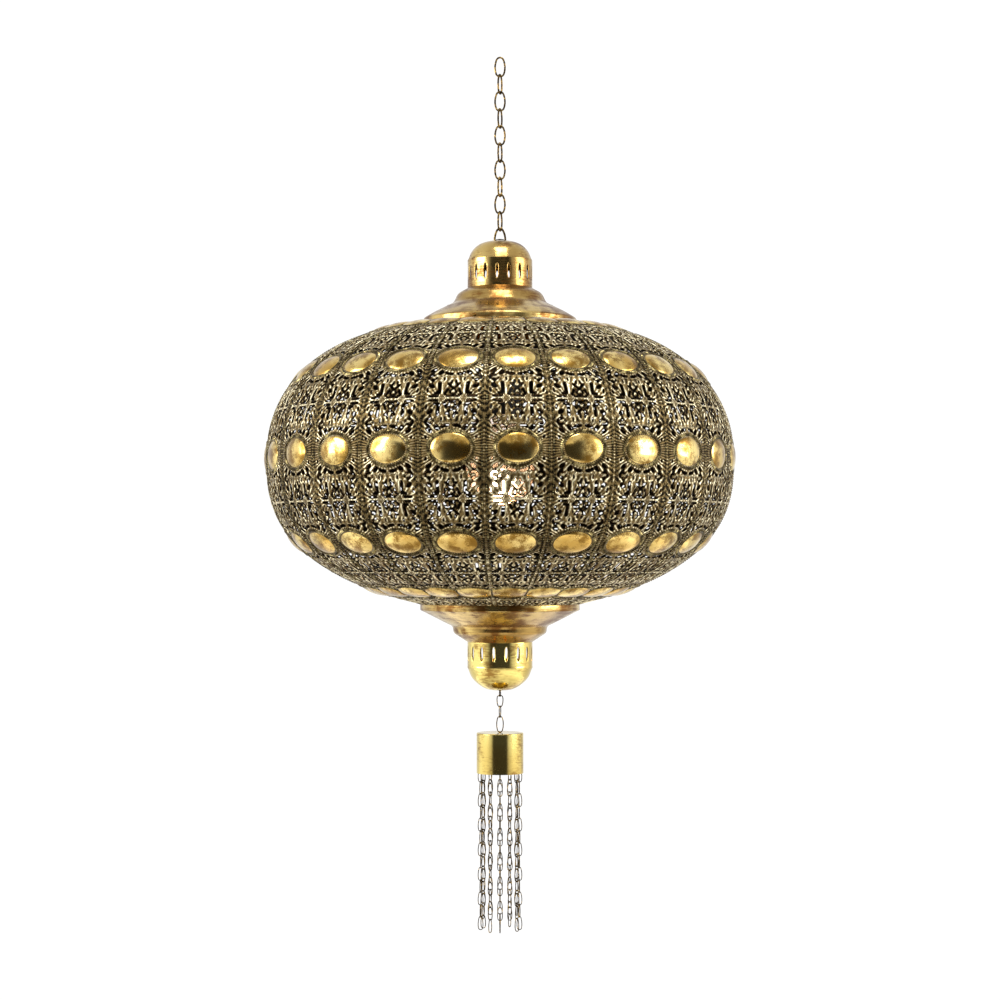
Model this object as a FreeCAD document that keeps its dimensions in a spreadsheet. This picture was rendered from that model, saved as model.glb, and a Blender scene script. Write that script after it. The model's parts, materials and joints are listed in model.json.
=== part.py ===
import FreeCAD, Part
import math
import os

import Sketcher

# A hanging brass lantern: a chain of oval links, a vented cap, a round shade of 24 pierced gores
# about an E27 lamp, a vented dish below it, and a tassel of fine chains under a small cup.
# Millimetres, +Z up. The origin is the hanging point, inside the top of the first link.
# Heights of the lantern's own pieces are counted from the shade's widest circle, its equator.

VECTOR = FreeCAD.Vector
UP = VECTOR(0, 0, 1)
FULL_TURN = 360.0

MAIN_LINKS = 10
LOWER_LINKS = 2
GORES = 24
GORES_PER_NODE = 3
STRANDS = 12
STRAND_LINKS = 13
SHORT_STRAND_EVERY = 3  # every third strand is one link shorter
PROFILE_STEPS = 14  # points along each half of the shade's profile
FIRST_GORE_TURN = -86.0  # the direction that the middle of the first gore faces
RING_ARMS = 3
LAMP_WAIST_SHARE = 0.8  # where the globe ends and the neck's cone begins
SCREW_CROWN_SHARE = 0.6
SLOT_END_SHARE = 0.6  # the radius of a vent slot's end, as a share of the slot's width

# The driving dimensions, as (name, value). Each becomes a named cell of the sheet.
DRIVING = [
    # main chain
    ("chain_wire", 1.6),
    ("chain_pitch", 15.0),
    ("chain_link_width", 10.2),
    ("chain_end_radius", 3.4),
    ("chain_turn", 68.0),
    ("wire_gap", 0.1),
    # bail on the crown
    ("bail_wire", 1.8),
    ("bail_straight", 0.6),
    ("bail_leg_rise", 8.2),
    ("bail_apex_radius", 2.6),
    ("bail_foot_spread", 4.6),
    ("rivet_head_radius", 1.8),
    ("rivet_head_height", 1.0),
    # sheet metal
    ("spun_wall", 0.8),
    ("gore_wall", 0.6),
    ("seam_gap", 0.1),
    ("slip_gap", 0.1),
    # shade
    ("shade_radius", 201.4),
    ("shade_top_height", 118.6),
    ("shade_bottom_depth", 133.3),
    ("top_radius_power", 2.84),
    ("top_height_power", 2.12),
    ("bottom_radius_power", 1.752),
    ("bottom_height_power", 2.663),
    # hoops
    ("top_hoop_radius", 66.0),
    ("bottom_hoop_radius", 68.2),
    ("hoop_wall", 1.6),
    ("hoop_inside", 6.0),
    ("hoop_proud", 4.0),
    # bell
    ("bell_rim_height", 5.3),
    ("bell_land_width", 3.5),
    ("bell_flare_height", 14.6),
    ("bell_step_height", 3.6),
    ("bell_step_width", 1.8),
    ("bell_shoulder_radius", 9.0),
    # vent collars and domes
    ("vent_radius", 28.2),
    ("collar_spigot", 3.0),
    ("top_collar_height", 24.3),
    ("top_dome_height", 17.0),
    ("top_dome_corner", 16.0),
    ("top_slots", 17.0),
    ("slot_width", 2.0),
    ("slot_height", 11.9),
    ("top_slot_drop", 9.2),
    ("bottom_collar_height", 21.0),
    ("bottom_dome_depth", 19.9),
    ("bottom_dome_corner", 17.5),
    ("bottom_slots", 16.0),
    ("bottom_slot_drop", 9.0),
    # dish
    ("dish_rim_height", 5.9),
    ("dish_cone_depth", 13.6),
    ("dish_step_radius", 41.0),
    ("dish_step_depth", 6.0),
    ("dish_shoulder_depth", 9.0),
    # crown fittings
    ("crown_washer_radius", 9.0),
    ("crown_washer_height", 1.2),
    ("bush_bore_radius", 2.3),
    ("bush_neck_radius", 2.9),
    ("bush_flange_radius", 3.4),
    ("bush_flange_height", 1.0),
    # stem and bridge
    ("stem_radius", 5.0),
    ("stem_bore_radius", 3.5),
    ("bridge_width", 16.0),
    ("bridge_thickness", 2.0),
    ("bridge_drop", 3.0),
    ("nut_width", 14.0),
    ("nut_height", 4.0),
    ("stem_above_nut", 5.0),
    # lamp holder
    ("holder_radius", 18.2),
    ("holder_wall", 1.2),
    ("holder_skirt_height", 34.0),
    ("holder_cap_height", 16.0),
    ("holder_neck_radius", 9.0),
    ("holder_socket_depth", 8.0),
    ("shell_wall", 0.5),
    ("shell_height", 22.0),
    ("base_height", 6.0),
    ("contact_radius", 5.0),
    ("contact_height", 0.9),
    # lamp
    ("lamp_bottom", -40.5),
    ("lamp_radius", 30.0),
    ("lamp_length", 105.5),
    ("lamp_neck_radius", 13.6),
    ("lamp_cap_radius", 13.0),
    ("lamp_cap_height", 24.0),
    ("lamp_tip_radius", 4.6),
    ("lamp_tip_height", 3.0),
    ("lamp_glass", 0.8),
    # rim screws
    ("screw_count", 3.0),
    ("screw_radius", 1.5),
    ("screw_head_radius", 1.9),
    ("screw_head_height", 1.4),
    ("screw_length", 6.0),
    ("screw_turn", 19.0),
    # lower chain
    ("lower_wire", 0.9),
    ("lower_pitch", 9.1),
    ("lower_link_width", 6.0),
    ("lower_end_radius", 1.9),
    ("lower_turn", 75.0),
    ("bottom_eye_length", 5.6),
    ("bottom_eye_width", 5.0),
    ("bottom_eye_end_radius", 1.9),
    ("eye_shank_radius", 1.1),
    ("eye_nut_width", 5.5),
    ("eye_nut_height", 2.0),
    ("eye_shank_above_nut", 1.5),
    # tassel cup
    ("cup_radius", 20.3),
    ("cup_height", 34.8),
    ("cup_wall", 0.5),
    ("cup_top_wall", 0.8),
    ("cup_eye_length", 14.4),
    ("cup_eye_width", 6.6),
    ("cup_eye_end_radius", 2.2),
    ("cup_eye_foot_radius", 3.0),
    ("cup_eye_foot_height", 0.9),
    # strands
    ("ring_radius", 16.8),
    ("ring_wire", 1.2),
    ("ring_above_rim", 2.4),
    ("ring_arm", 1.4),
    ("strand_wire", 0.8),
    ("strand_pitch", 10.6),
    ("strand_link_width", 5.0),
    ("strand_end_radius", 1.8),
    ("strand_turn", 82.0),
]


# The sizes that follow from the driving ones, as (name, formula).
FOLLOWING = [
    # the bell's cone takes what the hoop, the step, the shoulder and the collar leave it
    (
        "bell_flare_width",
        "top_hoop_radius + slip_gap + spun_wall * 2 - vent_radius"
        " - bell_land_width - bell_shoulder_radius - bell_step_width",
    ),
]


class Size:
    """A size with its number and the sheet expression that gives it, kept together in arithmetic."""

    def __init__(self, value, text):
        self.value = float(value)
        self.text = text

    @staticmethod
    def of(other):
        return other if isinstance(other, Size) else Size(other, repr(float(other)))

    def __add__(self, other):
        other = Size.of(other)
        return Size(self.value + other.value, f"({self.text} + {other.text})")

    def __sub__(self, other):
        other = Size.of(other)
        return Size(self.value - other.value, f"({self.text} - {other.text})")

    def __mul__(self, other):
        other = Size.of(other)
        return Size(self.value * other.value, f"({self.text} * {other.text})")

    def __truediv__(self, other):
        other = Size.of(other)
        return Size(self.value / other.value, f"({self.text} / {other.text})")

    def __pow__(self, other):
        other = Size.of(other)
        return Size(self.value ** other.value, f"({self.text} ^ {other.text})")

    def __neg__(self):
        return Size(-self.value, f"(-1 * {self.text})")

    def __radd__(self, other):
        return Size.of(other) + self

    def __rsub__(self, other):
        return Size.of(other) - self


ZERO = Size(0, "0")

doc = FreeCAD.newDocument("hanging_lantern")
sheet = doc.addObject("Spreadsheet::Sheet", "sizes")
for row, (name, value) in enumerate(DRIVING, start=1):
    sheet.set(f"A{row}", str(value))
    sheet.setAlias(f"A{row}", name)
for row, (name, formula) in enumerate(FOLLOWING, start=len(DRIVING) + 1):
    sheet.set(f"A{row}", f"={formula}")
    sheet.setAlias(f"A{row}", name)
doc.recompute()

SIZE = {name: Size(getattr(sheet, name), f"sizes.{name}") for name, _ in DRIVING + FOLLOWING}
nodes = []


def kept(obj, label):
    """Names an object as one of the lantern's pieces."""
    obj.Label = label
    nodes.append(obj)
    return obj


def bind(obj, prop, size):
    """Sets a property to a size and ties it to the sheet."""
    obj.setExpression(prop, size.text)


def place(obj, height=ZERO, turn=ZERO):
    """Lifts a piece to its height and turns it about the lantern's axis."""
    obj.Placement = FreeCAD.Placement(VECTOR(0, 0, height.value), FreeCAD.Rotation(UP, turn.value))
    bind(obj, "Placement.Base.z", height)
    bind(obj, "Placement.Rotation.Angle", turn)


def new_body(label):
    return kept(doc.addObject("PartDesign::Body", label), label)


def new_sketch(body, name, role):
    """A sketch on one of the body's own origin planes."""
    sketch = body.newObject("Sketcher::SketchObject", name)
    plane = next(f for f in body.Origin.OriginFeatures if f.Role == role)
    sketch.AttachmentSupport = [(plane, "")]
    sketch.MapMode = "FlatFace"
    return sketch


def dimension(sketch, kind, *where_and_size):
    """Adds one driving dimension, tied to the sheet."""
    *where, size = where_and_size
    index = sketch.addConstraint(Sketcher.Constraint(kind, *where, size.value))
    sketch.setExpression(f"Constraints[{index}]", size.text)


def pin_point(sketch, geometry, end, across, up):
    """Fixes a point of a sketch at two sizes from the sketch's origin."""
    for kind, size, axis in (("DistanceX", across, -2), ("DistanceY", up, -1)):
        if size is ZERO:
            sketch.addConstraint(Sketcher.Constraint("PointOnObject", geometry, end, axis))
        else:
            dimension(sketch, kind, -1, 1, geometry, end, size)


def arc_between(start, end, radius, left):
    """The arc from start to end with its centre on the left, or right, of the way there."""
    middle = (start + end) * 0.5
    way = end - start
    off = math.sqrt(max(radius ** 2 - (way.Length / 2) ** 2, 0.0))
    side = VECTOR(-way.y, way.x, 0) * (1.0 / way.Length)
    centre = middle + side * (off if left else -off)
    first = math.atan2(start.y - centre.y, start.x - centre.x)
    last = math.atan2(end.y - centre.y, end.x - centre.x)
    circle = Part.Circle(centre, UP, radius)
    return Part.ArcOfCircle(circle, first, last) if left else Part.ArcOfCircle(circle, last, first)


def outline(sketch, corners, closed=True):
    """Draws lines and arcs through corners, each (across, up) or (across, up, radius, left).

    The radius belongs to the arc that arrives at its corner."""
    points = [VECTOR(c[0].value, c[1].value, 0) for c in corners]
    count = len(corners)
    spans = [(n, (n + 1) % count) for n in range(count if closed else count - 1)]
    ends = []
    for a, b in spans:
        arc = len(corners[b]) == 4
        if arc:
            _, _, radius, left = corners[b]
            geometry = sketch.addGeometry(arc_between(points[a], points[b], radius.value, left))
            ends.append((geometry, 1 if left else 2, 2 if left else 1))
            dimension(sketch, "Radius", geometry, radius)
        else:
            geometry = sketch.addGeometry(Part.LineSegment(points[a], points[b]))
            ends.append((geometry, 1, 2))
    for n, (a, b) in enumerate(spans):
        pin_point(sketch, ends[n][0], ends[n][1], corners[a][0], corners[a][1])
        if n + 1 < len(spans) or closed:
            after = ends[(n + 1) % len(spans)]
            sketch.addConstraint(
                Sketcher.Constraint("Coincident", ends[n][0], ends[n][2], after[0], after[1])
            )
    if not closed:
        last = ends[-1]
        pin_point(sketch, last[0], last[2], corners[-1][0], corners[-1][1])


def revolve(body, corners, name="turned"):
    """Adds a turned solid from a half profile of (radius, height) corners."""
    sketch = new_sketch(body, f"{name}_profile", "XZ_Plane")
    outline(sketch, corners)
    feature = body.newObject("PartDesign::Revolution", name)
    feature.Profile = sketch
    feature.ReferenceAxis = (sketch, ["V_Axis"])
    feature.Angle = FULL_TURN
    sketch.Visibility = False
    doc.recompute()
    return feature


def turned(label, corners, height=ZERO, turn=ZERO):
    """A piece turned or spun from one profile."""
    body = new_body(label)
    revolve(body, corners)
    place(body, height, turn)
    return body


def ring_corners(inner, outer, low, high):
    """The profile of a plain ring."""
    return [(inner, low), (outer, low), (outer, high), (inner, high)]


def disc_corners(radius, low, high):
    """The profile of a plain disc."""
    return [(ZERO, low), (radius, low), (radius, high), (ZERO, high)]


def oval_numbers(half_long, half_wide, end_radius):
    """The end centres, side radius and half angle of a four-arc oval."""
    centre = half_long - end_radius
    side = (centre ** 2 + half_wide ** 2 - end_radius ** 2) / (2 * (half_wide - end_radius))
    return centre, side, math.atan2(centre, side - half_wide)


def oval_pipe(body, length, width, end_radius, wire, middle, name="wire"):
    """Adds a closed wire loop: an oval of four arcs upright in the body's XZ plane."""
    half_long = (length - wire) / 2
    half_wide = (width - wire) / 2
    centre = half_long - end_radius
    side = (centre ** 2 + half_wide ** 2 - end_radius ** 2) / ((half_wide - end_radius) * 2)
    join = end_radius / (side - end_radius)
    across = (side - half_wide) * join
    up = centre + centre * join
    path = new_sketch(body, f"{name}_path", "XZ_Plane")
    outline(
        path,
        [
            (across, middle - up, end_radius, True),
            (across, middle + up, side, True),
            (-across, middle + up, end_radius, True),
            (-across, middle - up, side, True),
        ],
    )
    doc.recompute()
    section = new_sketch(body, f"{name}_section", "XY_Plane")
    section.AttachmentOffset = FreeCAD.Placement(VECTOR(0, 0, middle.value), FreeCAD.Rotation())
    bind(section, "AttachmentOffset.Base.z", middle)
    round_wire = section.addGeometry(Part.Circle(VECTOR(half_wide.value, 0, 0), UP, wire.value / 2))
    pin_point(section, round_wire, 3, half_wide, ZERO)
    dimension(section, "Radius", round_wire, wire / 2)
    doc.recompute()
    pipe = body.newObject("PartDesign::AdditivePipe", name)
    pipe.Profile = section
    pipe.Spine = (path, [f"Edge{n + 1}" for n in range(4)])
    path.Visibility = section.Visibility = False
    doc.recompute()
    return pipe


def hex_nut(label, width, height, bore, low):
    """A hexagon nut across its flats, with a plain bore, standing on a height."""
    body = new_body(label)
    sketch = new_sketch(body, "plan", "XY_Plane")
    corner = width / math.sqrt(3)
    points = []
    for n in range(6):
        angle = math.radians(60 * n)
        points.append(VECTOR(corner.value * math.cos(angle), corner.value * math.sin(angle), 0))
    for n in range(6):
        sketch.addGeometry(Part.LineSegment(points[n], points[(n + 1) % 6]))
    guide = sketch.addGeometry(Part.Circle(VECTOR(0, 0, 0), UP, corner.value), True)
    sketch.addConstraint(Sketcher.Constraint("Coincident", guide, 3, -1, 1))
    dimension(sketch, "Radius", guide, corner)
    for n in range(6):
        sketch.addConstraint(Sketcher.Constraint("Coincident", n, 2, (n + 1) % 6, 1))
        sketch.addConstraint(Sketcher.Constraint("PointOnObject", n, 1, guide))
    for n in range(5):
        sketch.addConstraint(Sketcher.Constraint("Equal", n, n + 1))
    sketch.addConstraint(Sketcher.Constraint("PointOnObject", 0, 1, -1))
    hole = sketch.addGeometry(Part.Circle(VECTOR(0, 0, 0), UP, bore.value))
    sketch.addConstraint(Sketcher.Constraint("Coincident", hole, 3, -1, 1))
    dimension(sketch, "Radius", hole, bore)
    pad = body.newObject("PartDesign::Pad", "hexagon")
    pad.Profile = sketch
    bind(pad, "Length", height)
    sketch.Visibility = False
    place(body, low)
    doc.recompute()
    return body


def cut_slots(body, count, width, height, middle, reach):
    """Cuts a row of upright round-ended slots through a collar's wall, all the way round."""
    sketch = new_sketch(body, "slot_plan", "XZ_Plane")
    half = width / 2
    end = width * SLOT_END_SHARE
    low = middle - height / 2 + half
    high = middle + height / 2 - half
    outline(sketch, [(-half, low), (half, low, end, True), (half, high), (-half, high, end, True)])
    before = body.Shape.Volume
    pocket = body.newObject("PartDesign::Pocket", "slot")
    pocket.Profile = sketch
    pocket.Reversed = True
    bind(pocket, "Length", reach)
    doc.recompute()
    pattern = body.newObject("PartDesign::PolarPattern", "slots")
    pattern.Originals = [pocket]
    pattern.Axis = (sketch, ["V_Axis"])
    pattern.Angle = FULL_TURN
    bind(pattern, "Occurrences", count)
    body.Tip = pattern
    sketch.Visibility = False
    doc.recompute()
    if body.Shape.Volume >= before:
        raise RuntimeError(f"{body.Label}: the slots cut nothing")


# ---------------------------------------------------------------- heights, from the hanging point

wire = SIZE["chain_wire"]
gap = SIZE["wire_gap"]
pitch = SIZE["chain_pitch"]
link_length = pitch + wire * 2 + gap
top_wire_height = wire / 2


def hanging_height(first, step, index):
    """The height of one of a row of hanging links, each a pitch below the last."""
    return first - step * index


last_bottom_wire = hanging_height(top_wire_height, pitch, MAIN_LINKS - 1) - (link_length - wire)
bail_apex = last_bottom_wire + wire / 2 + SIZE["bail_wire"] / 2 + gap
apex_radius = SIZE["bail_apex_radius"]
spread = SIZE["bail_foot_spread"]
leg_rise = SIZE["bail_leg_rise"]
leg_lean = spread - apex_radius
leg_bend = (leg_lean ** 2 + leg_rise ** 2) / (leg_lean * 2)
apex_bend = apex_radius * leg_bend / (leg_bend - leg_lean)
apex_low = SIZE["bail_straight"] + leg_rise
bail_rise = apex_low + apex_bend * (1 - leg_rise / leg_bend)
crown_height = bail_apex - bail_rise


def rim_height(radius, height, radius_power, height_power):
    """The height of the shade's surface above or below its equator, at a radius."""
    share = (radius / SIZE["shade_radius"]) ** radius_power
    return height * (1 - share) ** (Size.of(1) / height_power)


top_rim = rim_height(
    SIZE["top_hoop_radius"], SIZE["shade_top_height"], SIZE["top_radius_power"], SIZE["top_height_power"]
)
bottom_rim = rim_height(
    SIZE["bottom_hoop_radius"],
    SIZE["shade_bottom_depth"],
    SIZE["bottom_radius_power"],
    SIZE["bottom_height_power"],
)
bell_low = top_rim + SIZE["slip_gap"] * 2
bell_flare = bell_low + SIZE["bell_rim_height"]
bell_step = bell_flare + SIZE["bell_flare_height"]
bell_shoulder = bell_step + SIZE["bell_step_height"]
bell_top = bell_shoulder + SIZE["bell_shoulder_radius"]
collar_top = bell_top + SIZE["top_collar_height"]
crown_above_equator = collar_top + SIZE["top_dome_height"]
equator = crown_height - crown_above_equator

# ---------------------------------------------------------------- main chain


def chain_link(label, length, width, end_radius, link_wire, top_centre, turn):
    """One oval link, hanging from the height of its top wire's centre."""
    body = new_body(label)
    oval_pipe(body, length, width, end_radius, link_wire, -(length - link_wire) / 2)
    place(body, top_centre, turn)
    return body


for n in range(MAIN_LINKS):
    chain_link(
        f"chain_link_{n + 1:02d}",
        link_length,
        SIZE["chain_link_width"],
        SIZE["chain_end_radius"],
        wire,
        hanging_height(top_wire_height, pitch, n),
        SIZE["chain_turn"] if n % 2 else ZERO,
    )

# ---------------------------------------------------------------- crown: bail, washer, bush

bail_wire = SIZE["bail_wire"]
wall = SIZE["spun_wall"]
washer_low = -(wall + SIZE["crown_washer_height"])
leg_end = washer_low - SIZE["rivet_head_height"] / 2

bail = new_body("bail")
bail_path = new_sketch(bail, "leg_path", "XZ_Plane")
outline(
    bail_path,
    [
        (-spread, leg_end),
        (-spread, SIZE["bail_straight"]),
        (-apex_radius, apex_low, leg_bend, False),
        (apex_radius, apex_low, apex_bend, False),
        (spread, SIZE["bail_straight"], leg_bend, False),
        (spread, leg_end),
    ],
    closed=False,
)
doc.recompute()
bail_section = new_sketch(bail, "leg_section", "XY_Plane")
bail_section.AttachmentOffset = FreeCAD.Placement(VECTOR(0, 0, leg_end.value), FreeCAD.Rotation())
bind(bail_section, "AttachmentOffset.Base.z", leg_end)
leg_circle = bail_section.addGeometry(Part.Circle(VECTOR(-spread.value, 0, 0), UP, bail_wire.value / 2))
pin_point(bail_section, leg_circle, 3, -spread, ZERO)
dimension(bail_section, "Radius", leg_circle, bail_wire / 2)
doc.recompute()
bail_pipe = bail.newObject("PartDesign::AdditivePipe", "bent_wire")
bail_pipe.Profile = bail_section
bail_pipe.Spine = (bail_path, [f"Edge{n + 1}" for n in range(5)])
doc.recompute()
head_plan = new_sketch(bail, "rivet_plan", "XY_Plane")
head_plan.AttachmentOffset = FreeCAD.Placement(VECTOR(0, 0, washer_low.value), FreeCAD.Rotation())
bind(head_plan, "AttachmentOffset.Base.z", washer_low)
for side in (-spread, spread):
    head = head_plan.addGeometry(Part.Circle(VECTOR(side.value, 0, 0), UP, 1))
    pin_point(head_plan, head, 3, side, ZERO)
    dimension(head_plan, "Radius", head, SIZE["rivet_head_radius"])
heads = bail.newObject("PartDesign::Pad", "rivet_heads")
heads.Profile = head_plan
heads.Reversed = True
bind(heads, "Length", SIZE["rivet_head_height"])
place(bail, crown_height)
doc.recompute()


def crown_holes(body, centre_radius):
    """Drills the crown: two holes for the bail's legs and one for the bush."""
    plan = new_sketch(body, "hole_plan", "XY_Plane")
    for side, radius in (
        (-spread, bail_wire / 2),
        (ZERO, centre_radius),
        (spread, bail_wire / 2),
    ):
        hole = plan.addGeometry(Part.Circle(VECTOR(side.value, 0, 0), UP, radius.value))
        pin_point(plan, hole, 3, side, ZERO)
        dimension(plan, "Radius", hole, radius)
    before = body.Shape.Volume
    cut = body.newObject("PartDesign::Pocket", "holes")
    cut.Profile = plan
    cut.Type = "ThroughAll"
    cut.Midplane = True
    plan.Visibility = False
    doc.recompute()
    if body.Shape.Volume >= before:
        raise RuntimeError(f"{body.Label}: the holes cut nothing")


vent = SIZE["vent_radius"]
dome_height = SIZE["top_dome_height"]
dome_corner = SIZE["top_dome_corner"]
dome = new_body("vent_dome")
revolve(
    dome,
    [
        (vent, -dome_height),
        (vent, -dome_corner),
        (vent - dome_corner, ZERO, dome_corner, True),
        (ZERO, ZERO),
        (ZERO, -wall),
        (vent - dome_corner, -wall),
        (vent - wall, -dome_corner, dome_corner - wall, False),
        (vent - wall, -dome_height),
    ],
)
place(dome, crown_height)
crown_holes(dome, SIZE["bush_neck_radius"])

washer = new_body("crown_washer")
revolve(washer, disc_corners(SIZE["crown_washer_radius"], washer_low, -wall))
place(washer, crown_height)
crown_holes(washer, SIZE["bush_neck_radius"])

bush_bore = SIZE["bush_bore_radius"]
bush_neck = SIZE["bush_neck_radius"]
turned(
    "cord_bush",
    [
        (bush_bore, washer_low),
        (bush_neck, washer_low),
        (bush_neck, ZERO),
        (SIZE["bush_flange_radius"], ZERO),
        (SIZE["bush_flange_radius"], SIZE["bush_flange_height"]),
        (bush_bore, SIZE["bush_flange_height"]),
    ],
    crown_height,
)

# ---------------------------------------------------------------- vented cap: collar and bell

collar = new_body("vent_collar")
spigot = SIZE["collar_spigot"]
revolve(
    collar,
    [
        (vent - wall * 2, bell_top - spigot),
        (vent - wall, bell_top - spigot),
        (vent - wall, bell_top),
        (vent, bell_top),
        (vent, collar_top),
        (vent - wall, collar_top),
        (vent - wall, bell_top + wall),
        (vent - wall * 2, bell_top + wall),
    ],
)
place(collar, equator)
cut_slots(
    collar,
    SIZE["top_slots"],
    SIZE["slot_width"],
    SIZE["slot_height"],
    collar_top - SIZE["top_slot_drop"],
    vent * 2,
)

hoop = SIZE["top_hoop_radius"]
hoop_wall = SIZE["hoop_wall"]
bell_inner = hoop + SIZE["slip_gap"]
bell_outer = bell_inner + wall
flare_end = bell_outer - SIZE["bell_flare_width"]
step_end = flare_end - SIZE["bell_step_width"]
shoulder = SIZE["bell_shoulder_radius"]
screw_height = bell_low + SIZE["bell_rim_height"] / 2
screw_radius = SIZE["screw_radius"]
screw_turns = [
    -(SIZE["screw_turn"] + 90) + FULL_TURN / SIZE["screw_count"].value * n
    for n in range(int(SIZE["screw_count"].value))
]


def radial_cylinder(name, radius, length, start, turn):
    """A cylinder that lies along a radius of the rim, from a start distance outwards."""
    rod = doc.addObject("Part::Cylinder", name)
    bind(rod, "Radius", radius)
    bind(rod, "Height", length)
    lay_radially(rod, start, turn)
    return rod


def lay_radially(obj, start, turn):
    """Turns an upright shape to point outwards at the screws' height."""
    outwards = FreeCAD.Rotation(UP, turn.value) * FreeCAD.Rotation(VECTOR(0, 1, 0), 90)
    level = VECTOR(0, 0, (equator + screw_height).value)
    obj.Placement = FreeCAD.Placement(level + outwards.multVec(UP) * start.value, outwards)


def drilled(label, blank, radius):
    """A turned rim with the three screws' holes cut through it."""
    doc.recompute()
    start = hoop - hoop_wall * 2
    tools = [
        radial_cylinder(f"{label}_drill_{n + 1}", radius, SIZE["screw_length"] * 2, start, turn)
        for n, turn in enumerate(screw_turns)
    ]
    drills = doc.addObject("Part::Compound", f"{label}_drills")
    drills.Links = tools
    piece = kept(doc.addObject("Part::Cut", label), label)
    piece.Base = blank
    piece.Tool = drills
    doc.recompute()
    if piece.Shape.Volume >= blank.Shape.Volume:
        raise RuntimeError(f"{label}: the screw holes cut nothing")
    return piece


def blank_body(label, corners):
    """A turned blank that a later cut finishes, so it is not a piece of its own."""
    body = doc.addObject("PartDesign::Body", f"{label}_blank")
    revolve(body, corners)
    place(body, equator)
    return body


bell_blank = blank_body(
    "bell",
    [
        (bell_inner, bell_low),
        (bell_outer, bell_low),
        (bell_outer, bell_flare),
        (flare_end, bell_step),
        (step_end, bell_shoulder),
        (step_end - shoulder, bell_top, shoulder, True),
        (vent - wall, bell_top),
        (vent - wall, bell_top - wall),
        (step_end - shoulder, bell_top - wall),
        (step_end - wall, bell_shoulder, shoulder - wall, False),
        (flare_end - wall, bell_step),
        (bell_inner, bell_flare - wall / 2),
    ],
)
drilled("bell", bell_blank, screw_radius + SIZE["slip_gap"])

hoop_blank = blank_body(
    "top_hoop",
    ring_corners(hoop - hoop_wall, hoop, top_rim - SIZE["hoop_inside"], top_rim + SIZE["hoop_proud"]),
)
drilled("top_hoop", hoop_blank, screw_radius)

# ---------------------------------------------------------------- bridge, stem and lock nuts

bridge_top = bell_step - SIZE["bridge_drop"]
bridge_low = bridge_top - SIZE["bridge_thickness"]
flare_slope = (bell_inner - flare_end + wall) / (bell_step - bell_flare + wall / 2)
bridge_reach = flare_end - wall + flare_slope * (bell_step - bridge_top)
stem = SIZE["stem_radius"]

bridge = new_body("bridge_bar")
bridge_plan = new_sketch(bridge, "plan", "XY_Plane")
half_bar = SIZE["bridge_width"] / 2
bridge_side = (bridge_reach ** 2 - half_bar ** 2) ** 0.5
outline(
    bridge_plan,
    [
        (-bridge_side, -half_bar, bridge_reach, True),
        (bridge_side, -half_bar),
        (bridge_side, half_bar, bridge_reach, True),
        (-bridge_side, half_bar),
    ],
)
bar = bridge.newObject("PartDesign::Pad", "bar")
bar.Profile = bridge_plan
bind(bar, "Length", SIZE["bridge_thickness"])
doc.recompute()
bore_plan = new_sketch(bridge, "bore_plan", "XY_Plane")
bore_circle = bore_plan.addGeometry(Part.Circle(VECTOR(0, 0, 0), UP, stem.value))
bore_plan.addConstraint(Sketcher.Constraint("Coincident", bore_circle, 3, -1, 1))
dimension(bore_plan, "Radius", bore_circle, stem)
bore = bridge.newObject("PartDesign::Pocket", "bore")
bore.Profile = bore_plan
bore.Type = "ThroughAll"
bore.Midplane = True
place(bridge, equator + bridge_low)
doc.recompute()

nut_height = SIZE["nut_height"]
hex_nut("stem_nut_upper", SIZE["nut_width"], nut_height, stem, equator + bridge_top)
hex_nut("stem_nut_lower", SIZE["nut_width"], nut_height, stem, equator + bridge_low - nut_height)

lamp_top = SIZE["lamp_bottom"] + SIZE["lamp_length"]
contact_top = lamp_top + SIZE["contact_height"]
base_top = contact_top + SIZE["base_height"]
skirt_top = base_top
skirt_low = skirt_top - SIZE["holder_skirt_height"]
cap_top = skirt_top + SIZE["holder_cap_height"]
stem_low = cap_top - SIZE["holder_socket_depth"]
stem_top = bridge_top + nut_height + SIZE["stem_above_nut"]
turned("stem_tube", ring_corners(SIZE["stem_bore_radius"], stem, stem_low, stem_top), equator)

# ---------------------------------------------------------------- lamp holder

holder = SIZE["holder_radius"]
holder_wall = SIZE["holder_wall"]
neck = SIZE["holder_neck_radius"]
turned(
    "holder_cap",
    [
        (holder - holder_wall, skirt_top),
        (holder, skirt_top),
        (neck, cap_top - holder_wall),
        (neck, cap_top),
        (stem, cap_top),
        (stem, stem_low),
        (neck - holder_wall, stem_low),
    ],
    equator,
)
turned("holder_skirt", ring_corners(holder - holder_wall, holder, skirt_low, skirt_top), equator)
shell_inner = SIZE["lamp_cap_radius"] + SIZE["slip_gap"]
shell_outer = shell_inner + SIZE["shell_wall"]
turned(
    "thread_shell",
    ring_corners(shell_inner, shell_outer, contact_top - SIZE["shell_height"], contact_top),
    equator,
)
turned("contact_spring", disc_corners(SIZE["contact_radius"], lamp_top, contact_top), equator)
turned("holder_base", disc_corners(holder - holder_wall, contact_top, base_top), equator)

# ---------------------------------------------------------------- lamp

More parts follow.
